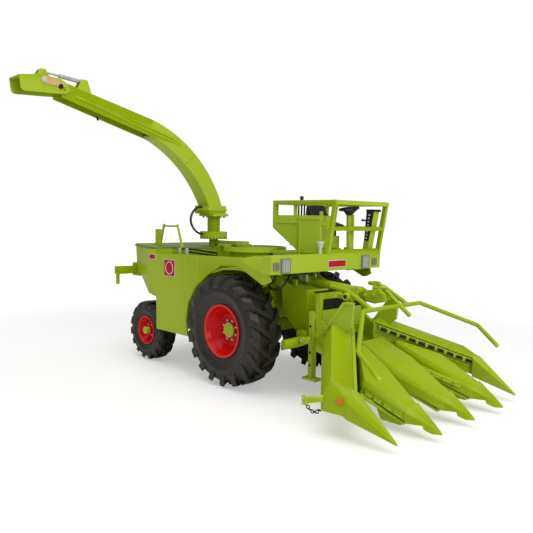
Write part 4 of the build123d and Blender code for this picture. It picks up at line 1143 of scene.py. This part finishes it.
@dataclass
class Body(Dresser):
    """Blank plates, panel seams, the deck's rim and the hoses of the machine's body."""

    home: ClassVar[str] = "chassis"
    wall_y: float = 31.0
    plate_thick: float = 0.16
    plate_border: float = 0.3
    plate_proud: float = 0.06
    # name, x from and to, z from and to
    side_plates: tuple = (("large", -41.2, -33.0, 41.5, 49.0), ("small", -52.9, -48.2, 48.2, 50.7))
    # x, z from and to
    seams: tuple = ((-26.2, 36.0, 51.3), (-17.7, 40.5, 51.3))
    rim_corners: tuple = ((-79.6, -21.4, 53.6), (-54.9, -30.0, 53.6), (-50.4, -30.0, 53.6))
    rim_width: float = 1.3
    rim_height: float = 0.75
    hose_routes: tuple = (
        ("side_hose_upper", ((8.0, -19.0, 46.0), (14.0, -22.0, 44.6), (19.5, -24.5, 42.6),
                             (22.6, -24.8, 44.2), (23.4, -24.8, 47.6))),
        ("side_hose_lower", ((8.0, -16.0, 43.6), (13.0, -18.8, 41.4), (18.6, -21.8, 39.9),
                             (21.6, -18.0, 41.6), (21.0, -14.6, 46.8))),
    )

    def build(self) -> None:
        """Dress the body."""
        for side, sign in SIDES:
            wall = sign * self.wall_y
            for name, x0, x1, z0, z1 in self.side_plates:
                self.plate(f"{name}_plate_{side}", (x0, wall, z0), (x1, wall + sign * self.plate_thick, z1))
            middle = (-37.1, wall + sign * 0.2, 45.25)
            emblem_ring = self.bench.ring(f"plate_ring_{side}", middle, ACROSS, 2.7, 0.22, 48)
            self.hand_over(emblem_ring, CREAM, "plate_white")
            for x, z0, z1 in self.seams:
                self.block(f"panel_seam_{round(-x)}_{side}", (x - 0.18, wall - sign * 0.05, z0),
                           (x + 0.18, wall + sign * 0.14, z1), 0.06)
        self.plate("front_plate", (29.0, -1.7, 48.7), (29.0 + self.plate_thick, 9.4, 51.7))
        self.deck_rim()
        self.hoses()

    def plate(self, name: str, one: Point, other: Point) -> None:
        """A blank red plate with a thin pale border.

        Args:
            name: the plate's name.
            one: one corner, on the sheet that carries it.
            other: the corner across from it.
        """
        low, high = tuple(map(min, one, other)), tuple(map(max, one, other))
        thin = min(range(3), key=lambda axis: high[axis] - low[axis])
        margin = [self.plate_border] * 3
        margin[thin] = 0.0
        lift = [0.0] * 3
        lift[thin] = math.copysign(self.plate_proud, low[thin] + high[thin])
        self.block(f"{name}_border", low, high, 0.03, slot=CREAM, finish="plate_white")
        face_low = tuple(c + m + l for c, m, l in zip(low, margin, lift))
        face_high = tuple(c - m + l for c, m, l in zip(high, margin, lift))
        self.block(name, face_low, face_high, 0.03, slot="red_paint", finish="plate_red")

    def deck_rim(self) -> None:
        """The green rim that frames the deck's screen."""
        for side, turn, sign in (("right", list, 1), ("left", flipped, -1)):
            line = [Vector(corner) for corner in turn(self.rim_corners)]
            for number, (start, end) in enumerate(zip(line, line[1:])):
                across = UP.cross((end - start).normalized()) * sign
                self.strip(f"deck_rim_{side}_{number}", (start, end), (Vector(), across * self.rim_width),
                           (0.0, self.rim_height), 0.12)
        self.block("deck_rim_rear", (-80.2, -21.4, 53.6), (-78.9, 21.4, 54.35), 0.12)

    def hoses(self) -> None:
        """Black hoses that leave the body above the feed housing, each with a steel ferrule."""
        for name, route in self.hose_routes:
            self.hand_over(self.bench.hose(name, route, 0.42), "rubber")
            start = Vector(route[0])
            along = (Vector(route[1]) - start).normalized()
            self.rod(f"{name}_ferrule", start - along * 0.4, start + along * 1.8, 0.62, 16, 0.1, slot=STEEL)


class Bezel(NamedTuple):
    """A lamp's bezel: the lamp's middle y and half width, its lower and upper edge, and its depth."""

    y: float
    half: float
    low: float
    high: float
    depth: float


class SeatSection(NamedTuple):
    """The seat at one y: how far it is drawn in, its cushion's height and its back's thickness."""

    y: float
    inset: float
    cushion: float
    back: float


@dataclass
class Platform(Dresser):
    """Lamp bezels, rivets on the side box and the moulded seat on its base."""

    home: ClassVar[str] = "chassis"
    lamps: tuple = (
        Bezel(-26.0, 2.0, 48.1, 52.7, 0.8), Bezel(22.0, 2.0, 48.1, 52.7, 0.8),
        Bezel(-30.8, 1.1, 49.1, 51.4, 0.5), Bezel(28.6, 1.1, 49.1, 51.4, 0.5),
    )
    bezel_width: float = 0.35
    face_x: float = 29.0
    # x and z of each rivet; those in front of the step lie on the outer sheet
    rivets: tuple = (
        (8.1, 67.8), (12.6, 67.9), (10.8, 65.6), (1.1, 62.6),
        (8.4, 57.0), (20.4, 67.8), (23.6, 55.6), (16.0, 55.6),
    )
    box_y: float = -1.9
    box_step_x: float = 13.7
    box_step: float = 0.5
    seat_top: float = 73.9
    seat_sections: tuple = (
        SeatSection(6.6, 1.3, 2.6, 1.2), SeatSection(7.4, 0.3, 3.2, 1.6), SeatSection(9.2, 0.0, 1.7, 1.9),
        SeatSection(12.0, 0.0, 1.2, 2.1), SeatSection(14.8, 0.0, 1.7, 1.9), SeatSection(16.6, 0.3, 3.2, 1.6),
        SeatSection(17.4, 1.3, 2.6, 1.2),
    )

    def build(self) -> None:
        """Dress the platform."""
        for number, lamp in enumerate(self.lamps):
            self.bezel(number, lamp)
        for number, (x, z) in enumerate(self.rivets):
            y = self.box_y - (self.box_step if x > self.box_step_x else 0.0)
            self.rod(f"box_rivet_{number}", (x, y + 0.2, z), (x, y - 0.28, z), 0.42, 14, 0.16)
        self.seat()

    def bezel(self, number: int, lamp: Bezel) -> None:
        """Four bars round a lamp.

        Args:
            number: the lamp's number.
            lamp: its sizes.
        """
        right, left = lamp.y - lamp.half, lamp.y + lamp.half
        far_right, far_left = right - self.bezel_width, left + self.bezel_width
        bottom, top = lamp.low - self.bezel_width, lamp.high + self.bezel_width
        bars = (
            (far_right, bottom, right, top), (left, bottom, far_left, top),
            (right, bottom, left, lamp.low), (right, lamp.high, left, top),
        )
        for part, (y0, z0, y1, z1) in enumerate(bars):
            self.block(f"bezel_{number}_{part}", (self.face_x - 0.1, y0, z0),
                       (self.face_x + lamp.depth + 0.12, y1, z1), 0.08, slot="lamp_grey", finish="bezel_grey")

    def seat(self) -> None:
        """A bucket seat: sections across its width, dished in the middle and rounded over."""
        rings = []
        for y, inset, cushion, back in self.seat_sections:
            top = self.seat_top - inset
            rings.append([
                (9.2, y, 63.6 + inset), (15.0, y, 62.8 + inset), (21.8 - inset, y, 63.9 + inset),
                (22.2 - inset, y, 64.6 + cushion * 0.35), (16.2, y, 64.0 + cushion),
                (12.4 + back * 0.4, y, 65.2 + cushion), (10.6 + back * 0.6, y, 70.4),
                (10.2 + back * 0.4, y, top), (9.0, y, top - 0.3), (8.6, y, 69.0),
            ])
        seat = self.bench.skin("moulded_seat", rings, 0.25)
        bpy.ops.object.modifier_add(type="SUBSURF")
        seat.modifiers[-1].levels = 2
        bpy.ops.object.modifier_apply(modifier=seat.modifiers[-1].name)
        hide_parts("seat")
        self.hand_over(seat, "black_plastic")
        self.block("seat_base", (11.0, 8.5, 60.9), (19.0, 15.5, 63.6), 0.4, slot="black_plastic")


@dataclass
class Spout(Dresser):
    """The spout's weld seams, flange bolts, fold beads and collar clamps, the flap's pins and a stud."""

    home: ClassVar[str] = "spout"
    middle_x: float = -45.0
    half: float = 4.0
    bead_half: float = 4.1
    # y, to the machine's left, and z of both ends
    seams: tuple = (((-52.5, 107.3), (-53.2, 112.5)), ((-19.8, 92.0), (-14.6, 95.9)))
    bead: tuple = ((-72.7, 113.5), (-33.8, 104.8), (-22.6, 100.3))
    bolt_circle: float = 5.2
    bolts: int = 10
    clamps: tuple = ((-47.6, 71.3), (-40.6, 71.6))
    # name, y, z, radius, finish
    pins: tuple = (
        ("flap_pin_front", -86.0, 117.8, 0.95, "nut_plating"), ("flap_pin_rear", -79.4, 116.3, 0.85, BLACK),
    )

    def build(self) -> None:
        """Dress the spout."""
        for number, (low, high) in enumerate(self.seams):
            for side, sign in (("rear", -1), ("front", 1)):
                x = self.middle_x + sign * self.half
                self.rod(f"weld_{number}_{side}", (x, *low), (x, *high), 0.22, 10, 0.06)
        for index in range(self.bolts):
            turn = 2 * math.pi * index / self.bolts
            spot = (self.middle_x + self.bolt_circle * math.cos(turn), self.bolt_circle * math.sin(turn))
            self.rod(f"flange_bolt_{index}", (*spot, 67.7), (*spot, 68.5), 0.55, 6, 0.08)
        for side, sign in (("front", 1), ("rear", -1)):
            line = [(self.middle_x + sign * self.bead_half, y, z) for y, z in self.bead]
            self.hand_over(self.bench.hose(f"fold_bead_{side}", line, 0.28))
        for number, (x, z) in enumerate(self.clamps):
            self.block(f"collar_clamp_{number}", (x - 1.0, -6.7, z - 1.0), (x + 1.0, -5.0, z + 1.0), 0.2)
            self.rod(f"collar_screw_{number}", (x, -6.5, z), (x, -7.3, z), 0.5, 6, 0.08)
        for name, y, z, radius, finish in self.pins:
            self.rod(name, (-40.6, y, z), (-39.2, y, z), radius, 24, 0.15,
                     slot=STEEL, finish=finish, body="flap")
        self.rod("underside_stud", (-43.0, -62.6, 107.4), (-42.4, -62.6, 106.0), 0.45, 12, 0.08, finish=BLACK)


@dataclass
class Couplings(Dresser):
    """Fixed fittings of the header: the marker arm with its chain, black blocks that paint the shade in the
    throat's slots, and the clevis.
    """

    marker_arm: tuple = (
        ((64.0, -43.6, 13.4), (64.6, -44.2, 12.3), (64.6, -44.2, 11.2), (64.0, -43.6, 11.8)),
        ((58.3, -45.6, 11.8), (58.6, -46.2, 11.0), (58.6, -46.2, 9.6), (58.3, -45.6, 10.2)),
    )
    chain_ends: tuple = ((59.0, -45.6, 9.3), (63.2, -43.8, 8.6))
    chain_sag: float = 1.6
    chain_links: int = 6
    link_axes: tuple = ((0.4, -1.0, 0.1), (0.2, 0.3, 1.0))
    slots: int = 11
    slots_y: float = -10.6
    clevis_y: tuple = (-2.6, 2.6)

    def build(self) -> None:
        """Make the fittings."""
        self.hand_over(self.bench.skin("marker_arm", self.marker_arm, 0.15))
        self.block("marker_plate", (57.2, -46.3, 9.2), (59.3, -45.2, 12.2), 0.2)
        for number, z in enumerate((10.1, 11.4)):
            self.rod(f"marker_bolt_{number}", (58.3, -45.6, z), (58.3, -46.7, z), 0.36, 6, 0.06, slot=STEEL)
        self.marker_chain()
        for number in range(self.slots):
            y = self.slots_y + number * 1.0
            # painted shade: black blocks fill the slots where shade falls
            self.block(f"throat_slot_{number}", (29.9, y, 38.9), (33.0, y + 0.5, 39.95), 0.08, finish=BLACK)
        for number, y in enumerate(self.clevis_y):
            self.block(f"clevis_{number}", (13.7, y - 0.5, 42.2), (19.3, y + 0.5, 45.4), 0.3, slot=STEEL)
        self.rod("clevis_pin", (15.4, -3.6, 43.9), (15.4, 3.6, 43.9), 0.7, 16, 0.12, slot=STEEL)

    def marker_chain(self) -> None:
        """Round links that hang between two points, every other one turned."""
        a, b = (Vector(end) for end in self.chain_ends)
        for index in range(self.chain_links):
            share = (index + 0.5) / self.chain_links
            spot = a.lerp(b, share) + UP * (-4 * self.chain_sag * share * (1 - share))
            link = self.bench.ring(f"marker_chain_{index}", spot, self.link_axes[index % 2], 0.52, 0.17, 20)
            self.hand_over(link, "rubber", BLACK)


@dataclass
class Throat(Dresser):
    """The header's middle: pusher bar and its arms, tilt ram, gearbox shelf, throat panel and plate edges."""

    tube: float = 0.8
    bend_reach: float = 1.8
    bar: tuple = ((81.2, -38.3, 20.4), (72.8, -38.1, 27.5), (59.0, -17.9, 36.5))
    arm: tuple = ((39.5, 11.5, 43.0), (46.8, 11.5, 42.0), (57.6, 11.2, 36.4))
    arm_tube: float = 0.85
    ram_rear: Point = (16.5, 0.0, 42.5)
    ram_front: Point = (45.4, 0.0, 40.4)
    shelf: tuple = (
        (45.4, 38.0), (45.4, 40.6), (49.5, 41.9), (54.6, 43.0), (57.4, 41.0), (57.8, 38.4), (52.8, 37.2),
    )
    shelf_sides: tuple = (-3.2, -2.4)
    shelf_bolts: tuple = ((48.8, 39.9), (52.6, 40.3), (55.8, 41.3))
    plate_edge: tuple = ((38.2, 14.6, 24.9), (47.7, 14.6, 37.7), (51.9, 14.6, 38.0))

    def rounded(self, path: list) -> list:
        """Add points close to each bend of a path, so that the tube bends tightly.

        Args:
            path: the bend points.

        Returns:
            The path with its added points.
        """
        dense = [path[0]]
        for before, bend, after in zip(path, path[1:], path[2:]):
            middle = Vector(bend)
            toward, onward = ((Vector(p) - middle).normalized() * self.bend_reach for p in (before, after))
            dense.extend((middle + toward, middle, middle + onward))
        return [*dense, path[-1]]

    def pusher_bar(self) -> None:
        """The bent tube over the rows, its centre tube and its two side arms."""
        path = [*self.bar, *flipped(reversed(self.bar))]
        bar = self.bench.hose("pusher_tube", self.rounded(path), self.tube)
        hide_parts("pusher_bar")
        self.hand_over(bar)
        self.rod("pusher_centre_tube", (49.6, 3.5, 44.4), (64.0, 3.5, 33.5), self.tube, 20, 0.2)
        for side, sign in SIDES:
            arm = [(x, sign * y, z) for x, y, z in self.arm]
            self.hand_over(self.bench.hose(f"pusher_arm_{side}", self.rounded(arm), self.arm_tube))
            inside, skin, face, end = ((47.3, sign * y, 40.0) for y in (10.6, 13.0, 13.2, 13.5))
            self.rod(f"arm_boss_{side}", inside, face, 1.6, 28, 0.2)
            self.rod(f"arm_boss_pin_{side}", skin, end, 0.7, 20, 0.1, finish=BLACK)
            self.block(f"arm_lug_{side}", (46.6, sign * 10.9, 37.0), (49.6, sign * 12.1, 41.6), 0.25)

    def ram(self) -> None:
        """The tilt ram's barrel with its end collars and ports."""
        rear, front = Vector(self.ram_rear), Vector(self.ram_front)
        along = (front - rear).normalized()
        barrel = self.bench.rod("tilt_barrel", rear, front, 1.9, 40, 0.25)
        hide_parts("tilt_cylinder")
        self.hand_over(barrel)
        for number, share in enumerate((0.06, 0.94)):
            spot = rear.lerp(front, share)
            self.rod(f"tilt_collar_{number}", spot - along * 1.2, spot + along * 1.2, 2.2, 40, 0.25)
            root, mouth = spot + Vector((0, -1.2, 1.2)), spot + Vector((0, -2.2, 2.4))
            self.rod(f"tilt_port_{number}", root, mouth, 0.6, 6, 0.1, slot=STEEL)

    def gearbox(self) -> None:
        """The gearbox shelf in front of the ram, with its bolts and its link."""
        rings = [[(x, y, z) for x, z in self.shelf] for y in self.shelf_sides]
        self.hand_over(self.bench.skin("gearbox_shelf", rings, 0.15))
        for number, (x, z) in enumerate(self.shelf_bolts):
            self.rod(f"shelf_bolt_{number}", (x, -3.0, z), (x, -3.9, z), 0.75, 6, 0.12)
        self.rod("shelf_link", (49.0, 1.2, 42.6), (55.6, 1.2, 42.8), 0.6, 16, 0.15)

    def mouth(self) -> None:
        """The closed lower half of the throat, a black sheet above it that paints the shade in the throat's
        opening, and the plates' rolled edges.
        """
        self.block("throat_panel", (34.9, -12.2, 22.0), (35.7, 12.2, 33.4), 0.15)
        # painted shade: a black sheet stands in the throat's opening
        self.block("throat_mouth", (34.7, -12.2, 33.4), (35.1, 12.2, 37.6), 0.1, finish=BLACK)
        self.block("throat_label", (36.4, -5.6, 37.9), (36.56, -1.4, 38.9), 0.03, finish="plate_white")
        for side, sign in SIDES:
            route = [(x, sign * y, z) for x, y, z in self.plate_edge]
            for number, (a, b) in enumerate(zip(route, route[1:])):
                self.rod(f"plate_edge_{side}_{number}", a, b, 0.5, 14, 0.15)
            self.block(f"plate_foot_{side}", (38.2, sign * 14.3, 25.2), (41.6, sign * 15.4, 28.2), 0.25)
            for number, z in enumerate((26.0, 27.4)):
                root, head = (39.9, sign * 15.3, z), (39.9, sign * 15.9, z)
                self.rod(f"plate_bolt_{side}_{number}", root, head, 0.45, 6, 0.08)

    def build(self) -> None:
        """Make the throat's pieces."""
        self.pusher_bar()
        self.ram()
        self.gearbox()
        self.mouth()


@dataclass
class Controls(Dresser):
    """Small parts: the side box's folds, the console's dials, the steering wheel's hub, the arm beside the
    stand leg, and black discs that paint the shade in the leg's holes."""

    home: ClassVar[str] = "chassis"
    folds: tuple = (
        ("box_fold_front", (13.6, -2.75, 53.3), (14.5, -2.0, 68.3)),
        ("box_fold_rear", (12.2, -2.3, 53.3), (12.7, -1.7, 66.0)),
        ("box_fold_level", (0.4, -2.3, 66.0), (12.7, -1.8, 66.4)),
        ("box_fold_top", (13.6, -2.8, 67.7), (25.2, -2.0, 68.3)),
    )
    dials: int = 8
    dial_pitch: float = 1.4
    board_slope: float = 0.126
    hub_x: float = 25.2
    hub_y: float = 15.5
    # radius and height of each ring of the hub
    hub_profile: tuple = ((0.7, 68.6), (1.0, 69.6), (1.9, 70.8), (2.5, 71.6), (1.2, 72.2))
    arm: tuple = ((20.6, 16.4), (20.2, 18.4), (33.8, 24.0), (35.4, 23.6), (35.2, 21.6))
    arm_sides: tuple = (-18.6, -17.6)
    bosses: tuple = ((24.2, 19.3), (32.0, 22.4))
    leg_holes: tuple = (12.5, 17.5, 22.5, 27.5)

    def build(self) -> None:
        """Make the small parts."""
        for name, low, high in self.folds:
            self.block(name, low, high, 0.12)
        for number in range(self.dials):
            z = 60.2 + number * self.dial_pitch
            x = 26.8 + (z - 59.1) * self.board_slope
            self.rod(f"dial_{number}", (x, 25.8, z), (x, 25.25, z), 0.36, 16, 0.1, slot=CREAM)
        turns = [math.pi * k / 8 for k in range(16)]
        hub = [[(self.hub_x + r * math.cos(a), self.hub_y + r * math.sin(a), z) for a in turns]
               for r, z in self.hub_profile]
        self.hand_over(self.bench.skin("wheel_hub", hub, 0.12), "black_plastic")
        self.side_arm()
        # painted shade: black discs stand in the leg's holes
        for number, z in enumerate(self.leg_holes):
            self.rod(f"leg_hole_{number}", (33.3, -15.6, z), (33.3, -16.15, z), 0.45, 14, 0.08,
                     finish=BLACK, body="header")

    def side_arm(self) -> None:
        """The arm beside the stand leg, with two bosses and their pins."""
        rings = [[(x, y, z) for x, z in self.arm] for y in self.arm_sides]
        self.hand_over(self.bench.skin("side_arm", rings, 0.2), body="header")
        for number, (x, z) in enumerate(self.bosses):
            self.rod(f"side_arm_boss_{number}", (x, -18.4, z), (x, -19.5, z), 1.25, 24, 0.15, body="header")
            self.rod(f"side_arm_pin_{number}", (x, -19.3, z), (x, -19.9, z), 0.6, 6, 0.1,
                     slot=STEEL, body="header")


def main() -> None:
    """Build the studio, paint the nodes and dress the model."""
    logging.basicConfig(level=logging.INFO, format="%(name)s: %(message)s")
    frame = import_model()
    Bench.clear()
    Studio().build()
    shop = PaintShop(frame)
    shop.paint()
    for section in (Header, Chains, Couplings, Throat, Wheels, Body, Platform, Controls, Spout):
        section(shop).build()


if __name__ == "__main__":
    main()
